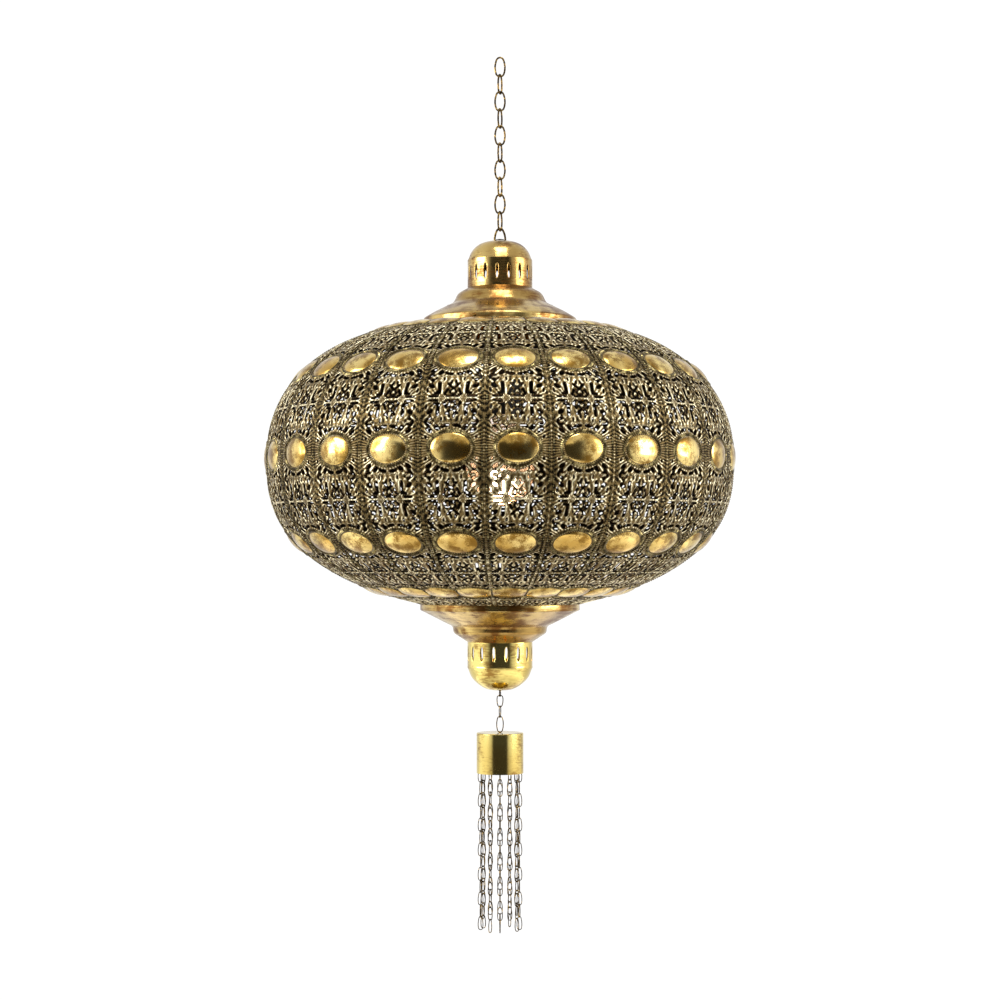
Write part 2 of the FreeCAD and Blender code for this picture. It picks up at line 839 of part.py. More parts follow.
lamp = SIZE["lamp_radius"]
lamp_middle = SIZE["lamp_bottom"] + lamp
lamp_cap_low = lamp_top - SIZE["lamp_tip_height"] - SIZE["lamp_cap_height"]
glass = SIZE["lamp_glass"]
lamp_neck = SIZE["lamp_neck_radius"]
waist = lamp * LAMP_WAIST_SHARE
waist_height = lamp_middle + (lamp ** 2 - waist ** 2) ** 0.5
turned(
    "lamp_glass",
    [
        (ZERO, SIZE["lamp_bottom"]),
        (waist, waist_height, lamp, True),
        (lamp_neck, lamp_cap_low),
        (lamp_neck - glass, lamp_cap_low),
        (waist - glass, waist_height),
        (ZERO, SIZE["lamp_bottom"] + glass, lamp - glass / 2, False),
    ],
    equator,
)
lamp_cap = SIZE["lamp_cap_radius"]
lamp_tip = SIZE["lamp_tip_radius"]
turned(
    "lamp_cap",
    [
        (ZERO, lamp_cap_low),
        (lamp_cap, lamp_cap_low),
        (lamp_cap, lamp_top - SIZE["lamp_tip_height"]),
        (lamp_tip, lamp_top),
        (ZERO, lamp_top),
    ],
    equator,
)

# ---------------------------------------------------------------- shade


def profile_point(radius, height, radius_power, height_power, angle):
    """A point of one half of the shade's profile, at an angle from 0 (equator) to a quarter turn."""
    across = radius * math.cos(angle) ** (2 / radius_power)
    up = height * math.sin(angle) ** (2 / height_power)
    return across, up


def half_profile(rim_radius, height, radius_power, height_power, sign):
    """Points of the shade's outer face from its equator to a rim."""
    radius = SIZE["shade_radius"].value
    last = math.acos((rim_radius / radius) ** (radius_power / 2))
    points = []
    for n in range(PROFILE_STEPS + 1):
        angle = last * n / PROFILE_STEPS
        across, up = profile_point(radius, height, radius_power, height_power, angle)
        points.append(VECTOR(across, 0, sign * up))
    return points


def shade_profile():
    """Points of the whole outer face, from the top rim to the bottom rim."""
    upper = half_profile(
        SIZE["top_hoop_radius"].value,
        SIZE["shade_top_height"].value,
        SIZE["top_radius_power"].value,
        SIZE["top_height_power"].value,
        1,
    )
    lower = half_profile(
        SIZE["bottom_hoop_radius"].value,
        SIZE["shade_bottom_depth"].value,
        SIZE["bottom_radius_power"].value,
        SIZE["bottom_height_power"].value,
        -1,
    )
    return upper[::-1] + lower[1:]


def shifted(points, distance):
    """The points moved inwards, square to the line through them; the ends stay on the hoops."""
    moved = []
    for n, point in enumerate(points):
        before = points[max(n - 1, 0)]
        after = points[min(n + 1, len(points) - 1)]
        way = (after - before).normalize()
        inwards = VECTOR(way.z, 0, -way.x)
        moved.append(point + inwards * distance)
    moved[0] = VECTOR(points[0].x, 0, moved[0].z)
    moved[-1] = VECTOR(points[-1].x, 0, moved[-1].z)
    return moved


def smooth_edge(points):
    curve = Part.BSplineCurve()
    curve.interpolate(points)
    return curve.toShape()


def gore_group(label, first, count):
    """A few neighbouring gores: curved strips of sheet, each turned through its share of a circle."""
    outer = shade_profile()
    inner = shifted(outer, SIZE["gore_wall"].value)
    section = Part.Face(
        Part.Wire(
            [
                smooth_edge(outer),
                Part.makeLine(outer[-1], inner[-1]),
                smooth_edge(inner[::-1]),
                Part.makeLine(inner[0], outer[0]),
            ]
        )
    )
    share = FULL_TURN / GORES
    seam = math.degrees(SIZE["seam_gap"].value / SIZE["shade_radius"].value)
    strips = []
    for n in range(first, first + count):
        strip = section.revolve(VECTOR(0, 0, 0), UP, share - seam)
        strip.rotate(VECTOR(0, 0, 0), UP, FIRST_GORE_TURN + share * (n - 0.5) + seam / 2)
        strips.append(strip)
    group = kept(doc.addObject("Part::Feature", label), label)
    group.Shape = Part.makeCompound(strips)
    place(group, equator)
    return group


for n in range(GORES // GORES_PER_NODE):
    gore_group(f"gores_{n + 1:02d}", n * GORES_PER_NODE, GORES_PER_NODE)

bottom_hoop_radius = SIZE["bottom_hoop_radius"]
turned(
    "bottom_hoop",
    ring_corners(
        bottom_hoop_radius - hoop_wall,
        bottom_hoop_radius,
        -(bottom_rim + SIZE["hoop_proud"]),
        -(bottom_rim - SIZE["hoop_inside"]),
    ),
    equator,
)

# ---------------------------------------------------------------- rim screws

screws = []
for n, turn in enumerate(screw_turns):
    name = f"rim_screw_{n + 1}"
    shank_start = bell_outer - SIZE["screw_length"]
    shank = radial_cylinder(f"{name}_shank", screw_radius, SIZE["screw_length"], shank_start, turn)
    head = doc.addObject("Part::Cone", f"{name}_head")
    bind(head, "Radius1", SIZE["screw_head_radius"])
    bind(head, "Radius2", SIZE["screw_head_radius"] * SCREW_CROWN_SHARE)
    bind(head, "Height", SIZE["screw_head_height"])
    lay_radially(head, bell_outer, turn)
    screw = doc.addObject("Part::Fuse", name)
    screw.Base = shank
    screw.Tool = head
    screws.append(screw)
doc.recompute()
screw_group = kept(doc.addObject("Part::Compound", "rim_screws"), "rim_screws")
screw_group.Links = screws

# ---------------------------------------------------------------- dish, lower collar and dome

dish_outer = bottom_hoop_radius + SIZE["slip_gap"] + wall
dish_inner = bottom_hoop_radius + SIZE["slip_gap"]
dish_top = -(bottom_rim + SIZE["slip_gap"] * 2)
dish_edge = dish_top - SIZE["dish_rim_height"]
dish_step = dish_edge - SIZE["dish_cone_depth"]
dish_step_low = dish_step - SIZE["dish_step_depth"]
dish_low = dish_step_low - SIZE["dish_shoulder_depth"]
step_radius = SIZE["dish_step_radius"]
step_low_radius = step_radius - wall * 2
turned(
    "bottom_dish",
    [
        (dish_inner, dish_top),
        (dish_inner, dish_edge + wall / 2),
        (step_radius - wall, dish_step + wall / 2),
        (step_low_radius - wall, dish_step_low + wall),
        (vent - wall, dish_low + wall),
        (vent - wall, dish_low),
        (vent + wall, dish_low),
        (step_low_radius, dish_step_low),
        (step_radius, dish_step),
        (dish_outer, dish_edge),
        (dish_outer, dish_top),
    ],
    equator,
)

lower_collar_low = dish_low - SIZE["bottom_collar_height"]
lower_collar = new_body("lower_collar")
revolve(
    lower_collar,
    [
        (vent - wall * 2, lower_collar_low),
        (vent - wall, lower_collar_low),
        (vent - wall, lower_collar_low + wall),
        (vent, lower_collar_low + wall),
        (vent, dish_low),
        (vent - wall, dish_low),
        (vent - wall, dish_low + spigot),
        (vent - wall * 2, dish_low + spigot),
    ],
)
place(lower_collar, equator)
cut_slots(
    lower_collar,
    SIZE["bottom_slots"],
    SIZE["slot_width"],
    SIZE["slot_height"],
    dish_low - SIZE["bottom_slot_drop"],
    vent * 2,
)

lower_depth = SIZE["bottom_dome_depth"]
lower_corner = SIZE["bottom_dome_corner"]
lower_bottom = lower_collar_low - lower_depth
eye_shank = SIZE["eye_shank_radius"]
turned(
    "lower_dome",
    [
        (vent, lower_collar_low + wall),
        (vent - wall, lower_collar_low + wall),
        (vent - wall, lower_bottom + lower_corner),
        (vent - lower_corner, lower_bottom + wall, lower_corner - wall, False),
        (eye_shank, lower_bottom + wall),
        (eye_shank, lower_bottom),
        (vent - lower_corner, lower_bottom),
        (vent, lower_bottom + lower_corner, lower_corner, True),
    ],
    equator,
)

# ---------------------------------------------------------------- eyes, lower chain and cup


def wire_eye(label, length, width, end_radius, shank_length, height):
    """A loop of wire under an upright shank, which starts at the loop's upper wire."""
    body = new_body(label)
    oval_pipe(body, length, width, end_radius, SIZE["lower_wire"], ZERO)
    half = (length - SIZE["lower_wire"]) / 2
    revolve(body, disc_corners(eye_shank, half, half + shank_length), "shank")
    place(body, height, SIZE["lower_turn"])
    return body


lower_wire = SIZE["lower_wire"]
lower_bottom_height = equator + lower_bottom
eye_length = SIZE["bottom_eye_length"]
eye_middle = lower_bottom_height - eye_length / 2
eye_nut_low = lower_bottom_height + wall
wire_eye(
    "bottom_eye",
    eye_length,
    SIZE["bottom_eye_width"],
    SIZE["bottom_eye_end_radius"],
    lower_wire / 2 + wall + SIZE["eye_nut_height"] + SIZE["eye_shank_above_nut"],
    eye_middle,
)
hex_nut("eye_nut", SIZE["eye_nut_width"], SIZE["eye_nut_height"], eye_shank, eye_nut_low)

lower_length = SIZE["lower_pitch"] + lower_wire * 2 + gap
eye_low_wire = eye_middle - (eye_length - lower_wire) / 2
lower_first = eye_low_wire + lower_wire + gap
for n in range(LOWER_LINKS):
    chain_link(
        f"lower_link_{n + 1:02d}",
        lower_length,
        SIZE["lower_link_width"],
        SIZE["lower_end_radius"],
        lower_wire,
        hanging_height(lower_first, SIZE["lower_pitch"], n),
        SIZE["lower_turn"] if n % 2 else ZERO,
    )
lower_last_wire = hanging_height(lower_first, SIZE["lower_pitch"], LOWER_LINKS - 1) - (
    lower_length - lower_wire
)
cup_eye_top = lower_last_wire + lower_wire + gap
cup_eye_length = SIZE["cup_eye_length"]
cup_eye_low = cup_eye_top - (cup_eye_length - lower_wire)
cup_top = cup_eye_low - lower_wire / 2
cup_wall = SIZE["cup_wall"]
cup_top_wall = SIZE["cup_top_wall"]
cup = SIZE["cup_radius"]
cup_low = cup_top - SIZE["cup_height"]

cup_eye = new_body("cup_eye")
oval_pipe(
    cup_eye,
    cup_eye_length,
    SIZE["cup_eye_width"],
    SIZE["cup_eye_end_radius"],
    lower_wire,
    cup_eye_length / 2,
)
foot_height = SIZE["cup_eye_foot_height"]
revolve(cup_eye, disc_corners(eye_shank, -cup_top_wall, lower_wire / 2), "shank")
revolve(
    cup_eye,
    disc_corners(SIZE["cup_eye_foot_radius"], -(cup_top_wall + foot_height), -cup_top_wall),
    "foot",
)
place(cup_eye, cup_top)

turned(
    "tassel_cup",
    [
        (eye_shank, cup_top - cup_top_wall),
        (cup - cup_wall, cup_top - cup_top_wall),
        (cup - cup_wall, cup_low),
        (cup, cup_low),
        (cup, cup_top),
        (eye_shank, cup_top),
    ],
)

# ---------------------------------------------------------------- strand ring and strands

ring_height = cup_low + SIZE["ring_above_rim"]
ring_radius = SIZE["ring_radius"]
ring_wire = SIZE["ring_wire"]
arm = SIZE["ring_arm"]
ring_loop = doc.addObject("Part::Torus", "ring_loop")
bind(ring_loop, "Radius1", ring_radius)
bind(ring_loop, "Radius2", ring_wire / 2)
place(ring_loop, ring_height)
arms = [ring_loop]
hub_low = cup_top - cup_top_wall - foot_height
for n in range(RING_ARMS):
    turn = FULL_TURN / STRANDS * (n * STRANDS / RING_ARMS + 0.5)
    direction = VECTOR(math.cos(math.radians(turn)), math.sin(math.radians(turn)), 0)
    rod = doc.addObject("Part::Cylinder", f"ring_rod_{n + 1}")
    bind(rod, "Radius", arm / 2)
    bind(rod, "Height", hub_low - ring_height)
    rod.Placement = FreeCAD.Placement(
        direction * ring_radius.value + VECTOR(0, 0, ring_height.value), FreeCAD.Rotation()
    )
    bind(rod, "Placement.Base.x", ring_radius * direction.x)
    bind(rod, "Placement.Base.y", ring_radius * direction.y)
    bind(rod, "Placement.Base.z", ring_height)
    arms.append(rod)
spider = doc.addObject("Part::Cylinder", "ring_spider")
bind(spider, "Radius", ring_radius + arm)
bind(spider, "Height", arm / 2)
place(spider, hub_low - arm / 2)
arms.append(spider)
doc.recompute()
strand_ring = kept(doc.addObject("Part::MultiFuse", "strand_ring"), "strand_ring")
strand_ring.Shapes = arms
doc.recompute()


def oval_link_shape(length, width, end_radius, link_wire):
    """One oval wire link in the XZ plane, its top wire's centre at the origin."""
    half_long = (length - link_wire) / 2
    half_wide = (width - link_wire) / 2
    centre, side, angle = oval_numbers(half_long, half_wide, end_radius)
    reach = side - half_wide
    rest = math.pi - angle
    pieces = []
    for across, up, radius, first, last in (
        (-reach, 0, side, -angle, angle),
        (0, centre, end_radius, angle, rest),
        (reach, 0, side, rest, math.pi + angle),
        (0, -centre, end_radius, math.pi + angle, math.pi + rest),
    ):
        middle = VECTOR(across, 0, up - half_long)
        spoke = VECTOR(math.cos(first), 0, math.sin(first))
        along = VECTOR(-math.sin(first), 0, math.cos(first))
        section = Part.Face(Part.Wire(Part.Circle(middle + spoke * radius, along, link_wire / 2).toShape()))
        pieces.append(section.revolve(middle, VECTOR(0, -1, 0), math.degrees(last - first)))
    return pieces[0].multiFuse(pieces[1:]).removeSplitter().Solids[0]


strand_wire = SIZE["strand_wire"]
strand_length = SIZE["strand_pitch"] + strand_wire * 2 + gap
first_strand_wire = ring_wire / 2 + strand_wire / 2 + gap
strand_link = oval_link_shape(
    strand_length.value,
    SIZE["strand_link_width"].value,
    SIZE["strand_end_radius"].value,
    strand_wire.value,
)
for n in range(STRANDS):
    turn = FULL_TURN / STRANDS * n
    count = STRAND_LINKS - (1 if n % SHORT_STRAND_EVERY == 1 else 0)
    links = []
    for k in range(count):
        link = strand_link.copy()
        link.rotate(VECTOR(0, 0, 0), UP, SIZE["strand_turn"].value if k % 2 else 0)
        link.translate(VECTOR(0, 0, (first_strand_wire - SIZE["strand_pitch"] * k).value))
        links.append(link)
    strand = kept(doc.addObject("Part::Feature", f"strand_{n + 1:02d}"), f"strand_{n + 1:02d}")
    strand.Shape = Part.makeCompound(links)
    out = VECTOR(math.cos(math.radians(turn)), math.sin(math.radians(turn)), 0)
    strand.Placement = FreeCAD.Placement(
        out * ring_radius.value + VECTOR(0, 0, ring_height.value), FreeCAD.Rotation(UP, turn)
    )

# ---------------------------------------------------------------- checks and export

doc.recompute()
for obj in doc.Objects:
    if any(state in ("Invalid", "Error") for state in obj.State):
        raise RuntimeError(f"{obj.Label} failed: {obj.State}")
for node in nodes:
    if node.Shape.isNull() or not node.Shape.isValid() or not node.Shape.Solids:
        raise RuntimeError(f"{node.Label} has no valid solid")

os.makedirs("parts", exist_ok=True)
for node in nodes:
    node.Shape.exportStep(f"parts/{node.Label}.step")
print(f"{len(nodes)} pieces written")
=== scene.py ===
"""Looks of a pierced brass hanging lantern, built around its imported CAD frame.

Lengths in the classes are millimetres; meshes are made in metres in the frame's own coordinates.
"""

import json
import logging
import math
from dataclasses import dataclass, field
from enum import Enum
from typing import Callable, Dict, List, Optional, Sequence, Tuple

import bmesh
import bpy
import numpy as np
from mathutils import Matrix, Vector

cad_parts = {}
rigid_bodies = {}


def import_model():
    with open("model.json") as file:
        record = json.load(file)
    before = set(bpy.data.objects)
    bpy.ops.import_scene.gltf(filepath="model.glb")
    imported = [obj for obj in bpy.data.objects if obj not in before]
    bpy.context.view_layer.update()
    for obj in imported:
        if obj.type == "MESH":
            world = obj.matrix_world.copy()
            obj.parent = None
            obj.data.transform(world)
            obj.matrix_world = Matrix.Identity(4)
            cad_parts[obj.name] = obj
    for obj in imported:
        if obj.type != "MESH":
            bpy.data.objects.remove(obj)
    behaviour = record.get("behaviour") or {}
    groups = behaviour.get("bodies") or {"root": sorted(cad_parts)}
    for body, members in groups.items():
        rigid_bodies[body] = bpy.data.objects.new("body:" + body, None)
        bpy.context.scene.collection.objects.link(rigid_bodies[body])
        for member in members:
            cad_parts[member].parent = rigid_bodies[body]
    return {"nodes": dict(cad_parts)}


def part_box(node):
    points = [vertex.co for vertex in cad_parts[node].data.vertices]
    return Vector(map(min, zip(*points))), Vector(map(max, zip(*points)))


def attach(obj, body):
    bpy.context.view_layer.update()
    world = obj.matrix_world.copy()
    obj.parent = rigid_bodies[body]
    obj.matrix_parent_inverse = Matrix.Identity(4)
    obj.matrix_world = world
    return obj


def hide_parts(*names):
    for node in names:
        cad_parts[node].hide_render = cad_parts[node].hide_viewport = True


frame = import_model()

MM = 0.001
SNAP = 0.44  # a grid point this near a hole's edge, in cells, is moved onto it
MOVE = 0.42  # the furthest that a grid point is moved, in cells
LOG = logging.getLogger("lantern")
Colour = Tuple[float, float, float, float]
Array = np.ndarray


# ---------------------------------------------------------------- small tools


def linear(code: str) -> Colour:
    """Turns an sRGB hex colour into the linear colour that shaders take.

    Args:
        code: Six hex digits, with or without a hash.

    Returns:
        Linear red, green, blue and an alpha of one.
    """
    digits = code.lstrip("#")
    parts = [int(digits[k : k + 2], 16) / 255 for k in (0, 2, 4)]
    red, green, blue = [p / 12.92 if p <= 0.04045 else ((p + 0.055) / 1.055) ** 2.4 for p in parts]
    return (red, green, blue, 1.0)


def add(tree: bpy.types.NodeTree, kind: str, sockets: Optional[dict] = None, **settings) -> bpy.types.Node:
    """Adds a node, with its settings, its socket values and its links.

    Args:
        tree: The tree that gets the node.
        kind: The node's type name.
        sockets: Input name or number, to a value or to another node's output.
        settings: The node's own properties.

    Returns:
        The new node.
    """
    node = tree.nodes.new(kind)
    for name, value in settings.items():
        setattr(node, name, value)
    for key, value in (sockets or {}).items():
        if isinstance(value, bpy.types.NodeSocket):
            tree.links.new(value, node.inputs[key])
        else:
            node.inputs[key].default_value = value
    return node


def mesh_object(
    name: str,
    points: Array,
    faces: Sequence[Sequence[int]],
    smooth: Optional[Array] = None,
    edges: Sequence[Sequence[int]] = (),
) -> bpy.types.Object:
    """Makes a mesh object at the origin from points in millimetres.

    Args:
        name: The object's name.
        points: One row of x, y, z for each point.
        faces: Lists of point numbers.
        smooth: True for each smooth face; all are smooth without it.
        edges: Loose edges, for a path.

    Returns:
        The object, linked to the scene.
    """
    mesh = bpy.data.meshes.new(name)
    mesh.from_pydata((np.asarray(points) * MM).tolist(), [list(e) for e in edges], [list(f) for f in faces])
    shade = np.ones(len(mesh.polygons), bool) if smooth is None else smooth
    mesh.polygons.foreach_set("use_smooth", shade)
    thing = bpy.data.objects.new(name, mesh)
    bpy.context.scene.collection.objects.link(thing)
    return thing


def store(mesh: bpy.types.Mesh, name: str, values: Array) -> None:
    """Stores one number, or one vector, for each point of a mesh."""
    flat = np.asarray(values, np.float32)
    if flat.ndim == 1:
        mesh.attributes.new(name, "FLOAT", "POINT").data.foreach_set("value", flat)
    else:
        mesh.attributes.new(name, "FLOAT_VECTOR", "POINT").data.foreach_set("vector", flat.ravel())


def rounded(corners: Sequence[Tuple[float, ...]], steps: int = 5) -> Array:
    """Rounds the corners of a profile.

    Args:
        corners: (radius, height) or (radius, height, how far back each corner is cut).
        steps: Spans along each rounded corner.

    Returns:
        The profile's points.
    """
    points = [np.array(c[:2], float) for c in corners]
    out = [points[0]]
    for k in range(1, len(points) - 1):
        cut = corners[k][2] if len(corners[k]) > 2 else 0.0
        back, here, ahead = points[k - 1], points[k], points[k + 1]
        if cut <= 0:
            out.append(here)
            continue
        first = here + (back - here) * min(cut / np.linalg.norm(back - here), 0.49)
        last = here + (ahead - here) * min(cut / np.linalg.norm(ahead - here), 0.49)
        for t in np.linspace(0, 1, steps + 1):
            out.append(first * (1 - t) ** 2 + here * 2 * t * (1 - t) + last * t**2)
    out.append(points[-1])
    return np.array(out)


# ---------------------------------------------------------------- finishes


class Grain(Enum):
    """Which way a metal's fine marks run."""

    TURNED = "round the axis"
    CAST = "no direction"


@dataclass(frozen=True)
class Brass:
    """A brass finish: polished metal, a darker lacquered tone and a tarnish.

    Attributes:
        name: The material's name.
        bright: Colour where it is rubbed.
        body: Colour of most of it.
        dark: Colour of its tarnish.
        rough: Roughness where rubbed and where tarnished.
        patch: Width of a tarnish patch.
        tarnish: Share of tarnish, 0 to 1.
        grain: Direction of the fine marks.
        marks: Depth of the fine marks.
    """

    name: str
    bright: str
    body: str
    dark: str
    rough: Tuple[float, float]
    patch: float = 14.0
    tarnish: float = 0.5
    grain: Grain = Grain.CAST
    marks: float = 0.15

    def make(self) -> bpy.types.Material:
        """Builds the material: metal with lacquer patches, tarnish and fine marks."""
        material = bpy.data.materials.new(self.name)
        material.use_nodes = True
        tree = material.node_tree
        tree.nodes.clear()
        place = add(tree, "ShaderNodeTexCoord").outputs["Object"]
        patch_scale = 1 / (self.patch * MM)
        patches = add(
            tree,
            "ShaderNodeTexNoise",
            {"Vector": place, "Scale": patch_scale, "Detail": 6.0, "Roughness": 0.62},
        ).outputs[0]
        clouds = add(
            tree, "ShaderNodeTexNoise", {"Vector": place, "Scale": patch_scale * 0.37, "Detail": 3.0}
        ).outputs[0]
        if self.grain is Grain.TURNED:
            axes = add(tree, "ShaderNodeSeparateXYZ", {0: place}).outputs
            turn = add(tree, "ShaderNodeMath", {0: axes[1], 1: axes[0]}, operation="ARCTAN2").outputs[0]
            flat = add(tree, "ShaderNodeCombineXYZ", {0: axes[0], 1: axes[1]}).outputs[0]
            radius = add(tree, "ShaderNodeVectorMath", {0: flat}, operation="LENGTH").outputs["Value"]
            # a turned mark is a fraction of a millimetre wide and runs most of the way round
            around = add(tree, "ShaderNodeMath", {0: turn, 1: 0.004}, operation="MULTIPLY").outputs[0]
            lathe = add(tree, "ShaderNodeCombineXYZ", {0: around, 1: radius, 2: axes[2]}).outputs[0]
            fine = add(
                tree, "ShaderNodeTexNoise", {"Vector": lathe, "Scale": 900.0, "Detail": 3.0}
            ).outputs[0]
        else:
            fine = add(
                tree, "ShaderNodeTexNoise", {"Vector": place, "Scale": 1400.0, "Detail": 2.0}
            ).outputs[0]
        # the fine marks are drawn about a millimetre apart, as real ones would be too fine to show
        worn = add(
            tree, "ShaderNodeMath", {0: fine, 1: 0.35, 2: patches}, operation="MULTIPLY_ADD"
        ).outputs[0]
        low = 0.42 + self.tarnish * 0.35
        dirt = add(
            tree,
            "ShaderNodeMapRange",
            {0: worn, 1: low + 0.24, 2: low + 0.02, 3: 0.0, 4: 1.0},
            interpolation_type="SMOOTHSTEP",
        ).outputs[0]
        sheen = add(
            tree, "ShaderNodeMapRange", {0: clouds, 1: 0.36, 2: 0.62}, interpolation_type="SMOOTHSTEP"
        ).outputs[0]
        metal = add(
            tree, "ShaderNodeMix", {0: sheen, 6: linear(self.body), 7: linear(self.bright)}, data_type="RGBA"
        ).outputs[2]
        colour = add(
            tree, "ShaderNodeMix", {0: dirt, 6: metal, 7: linear(self.dark)}, data_type="RGBA"
        ).outputs[2]
        rough = add(tree, "ShaderNodeMapRange", {0: dirt, 3: self.rough[0], 4: self.rough[1]}).outputs[0]
        bump = add(
            tree, "ShaderNodeBump", {"Height": worn, "Strength": self.marks, "Distance": 0.0004}
        ).outputs[0]
        shader = add(
            tree,
            "ShaderNodeBsdfPrincipled",
            {"Base Color": colour, "Roughness": rough, "Normal": bump, "Metallic": 1.0},
        ).outputs[0]
        add(tree, "ShaderNodeOutputMaterial", {0: shader})
        return material


@dataclass(frozen=True)
class PiercedBrass:
    """Stamped and pierced sheet brass, blackened and then rubbed back on its high parts.

    Attributes:
        name: The material's name.
        black: Colour left in the hollows.
        bronze: Colour of the middle ground.
        gold: Colour of the rubbed ridges.
    """

    name: str
    black: str
    bronze: str
    gold: str

    def make(self) -> bpy.types.Material:
        """Builds the material from the sheet's own relief, with veined leaves and rubbed ridges."""
        material = bpy.data.materials.new(self.name)
        material.use_nodes = True
        tree = material.node_tree
        tree.nodes.clear()
        place = add(tree, "ShaderNodeTexCoord").outputs["Object"]
        relief = add(tree, "ShaderNodeAttribute", attribute_name="relief").outputs["Fac"]
        edge = add(tree, "ShaderNodeAttribute", attribute_name="edge").outputs["Fac"]
        fan = add(tree, "ShaderNodeAttribute", attribute_name="fan").outputs["Fac"]
        # a stamped ridge follows every piercing 0.7 mm from its edge, and again every 2.3 mm
        beat = add(
            tree, "ShaderNodeMath", {0: edge, 1: 2 * math.pi / 2.3, 2: -1.9}, operation="MULTIPLY_ADD"
        ).outputs[0]
        ridge = add(tree, "ShaderNodeMath", {0: beat}, operation="COSINE").outputs[0]
        vein = add(tree, "ShaderNodeMath", {0: fan}, operation="COSINE").outputs[0]
        # grime lies in patches about 24 mm across; the sheet's tooth is drawn 2 mm apart, as finer would not show
        grime = add(tree, "ShaderNodeTexNoise", {"Vector": place, "Scale": 42.0, "Detail": 5.0}).outputs[0]
        tooth = add(tree, "ShaderNodeTexNoise", {"Vector": place, "Scale": 520.0, "Detail": 3.0}).outputs[0]
        lines = add(tree, "ShaderNodeMath", {0: vein, 1: 0.8, 2: ridge}, operation="MULTIPLY_ADD").outputs[0]
        form = add(
            tree, "ShaderNodeMath", {0: lines, 1: 0.36, 2: relief}, operation="MULTIPLY_ADD"
        ).outputs[0]
        rubbed = add(tree, "ShaderNodeMath", {0: tooth, 1: 0.7, 2: form}, operation="MULTIPLY_ADD").outputs[0]
        worn = add(tree, "ShaderNodeMath", {0: grime, 1: 0.8, 2: rubbed}, operation="MULTIPLY_ADD").outputs[0]
        ramp = add(tree, "ShaderNodeValToRGB", {0: worn})
        # hollows keep the black, ridges are rubbed to gold
        stops = ((0.72, self.black), (1.12, self.bronze), (1.36, self.bronze), (1.74, self.gold))
        spread = add(tree, "ShaderNodeMapRange", {0: worn, 1: 0.5, 2: 2.0}).outputs[0]
        tree.links.new(spread, ramp.inputs[0])
        while len(ramp.color_ramp.elements) < len(stops):
            ramp.color_ramp.elements.new(0.5)
        for element, (position, code) in zip(ramp.color_ramp.elements, stops):
            element.position = (position - 0.5) / 1.5
            element.color = linear(code)
        rough = add(tree, "ShaderNodeMapRange", {0: worn, 1: 0.6, 2: 1.9, 3: 0.62, 4: 0.3}).outputs[0]
        bump = add(tree, "ShaderNodeBump", {"Height": rubbed, "Strength": 0.9, "Distance": 0.0008}).outputs[0]
        shader = add(
            tree,
            "ShaderNodeBsdfPrincipled",
            {"Base Color": ramp.outputs[0], "Roughness": rough, "Normal": bump, "Metallic": 1.0},
        ).outputs[0]
        add(tree, "ShaderNodeOutputMaterial", {0: shader})
        return material


@dataclass(frozen=True)
class Plain:
    """A simple moulded, glazed or plated stuff with a faint mottle.

    Attributes:
        name: The material's name.
        colour: Its main colour.
        shade: Its mottle's colour.
        rough: Its roughness.
        metallic: One for a metal.
        glow: Strength of its own light.
        cover: How much it hides of what lies behind.
        fade: Heights in metres where its light starts to die away and where it ends.
    """

    name: str
    colour: str
    shade: str
    rough: float
    metallic: float = 0.0
    glow: float = 0.0
    cover: float = 1.0
    fade: Tuple[float, float] = (0.0, 0.0)

    def make(self) -> bpy.types.Material:
        """Builds the material."""
        material = bpy.data.materials.new(self.name)
        material.use_nodes = True
        tree = material.node_tree
        tree.nodes.clear()
        place = add(tree, "ShaderNodeTexCoord").outputs["Object"]
        mottle = add(tree, "ShaderNodeTexNoise", {"Vector": place, "Scale": 220.0, "Detail": 4.0}).outputs[0]
        colour = add(
            tree,
            "ShaderNodeMix",
            {0: mottle, 6: linear(self.colour), 7: linear(self.shade)},
            data_type="RGBA",
        ).outputs[2]
        bump = add(tree, "ShaderNodeBump", {"Height": mottle, "Strength": 0.1, "Distance": 0.0002}).outputs[0]
        if self.cover < 1:
            colour = linear(self.colour)
        sockets = {"Base Color": colour, "Roughness": self.rough, "Metallic": self.metallic, "Normal": bump}
        if self.glow > 0:
            sockets.update({"Emission Color": linear(self.shade), "Emission Strength": self.glow})
        if self.fade[1] > self.fade[0]:
            height = add(tree, "ShaderNodeSeparateXYZ", {0: place}).outputs[2]
            sockets["Emission Strength"] = add(
                tree,
                "ShaderNodeMapRange",
                {0: height, 1: self.fade[0], 2: self.fade[1], 3: self.glow, 4: 0.0},
            ).outputs[0]
        if self.cover < 1:
            sockets["Alpha"] = self.cover
        shader = add(tree, "ShaderNodeBsdfPrincipled", sockets).outputs[0]
        add(tree, "ShaderNodeOutputMaterial", {0: shader})
        return material


LAMP_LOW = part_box("lamp_glass")[0].z

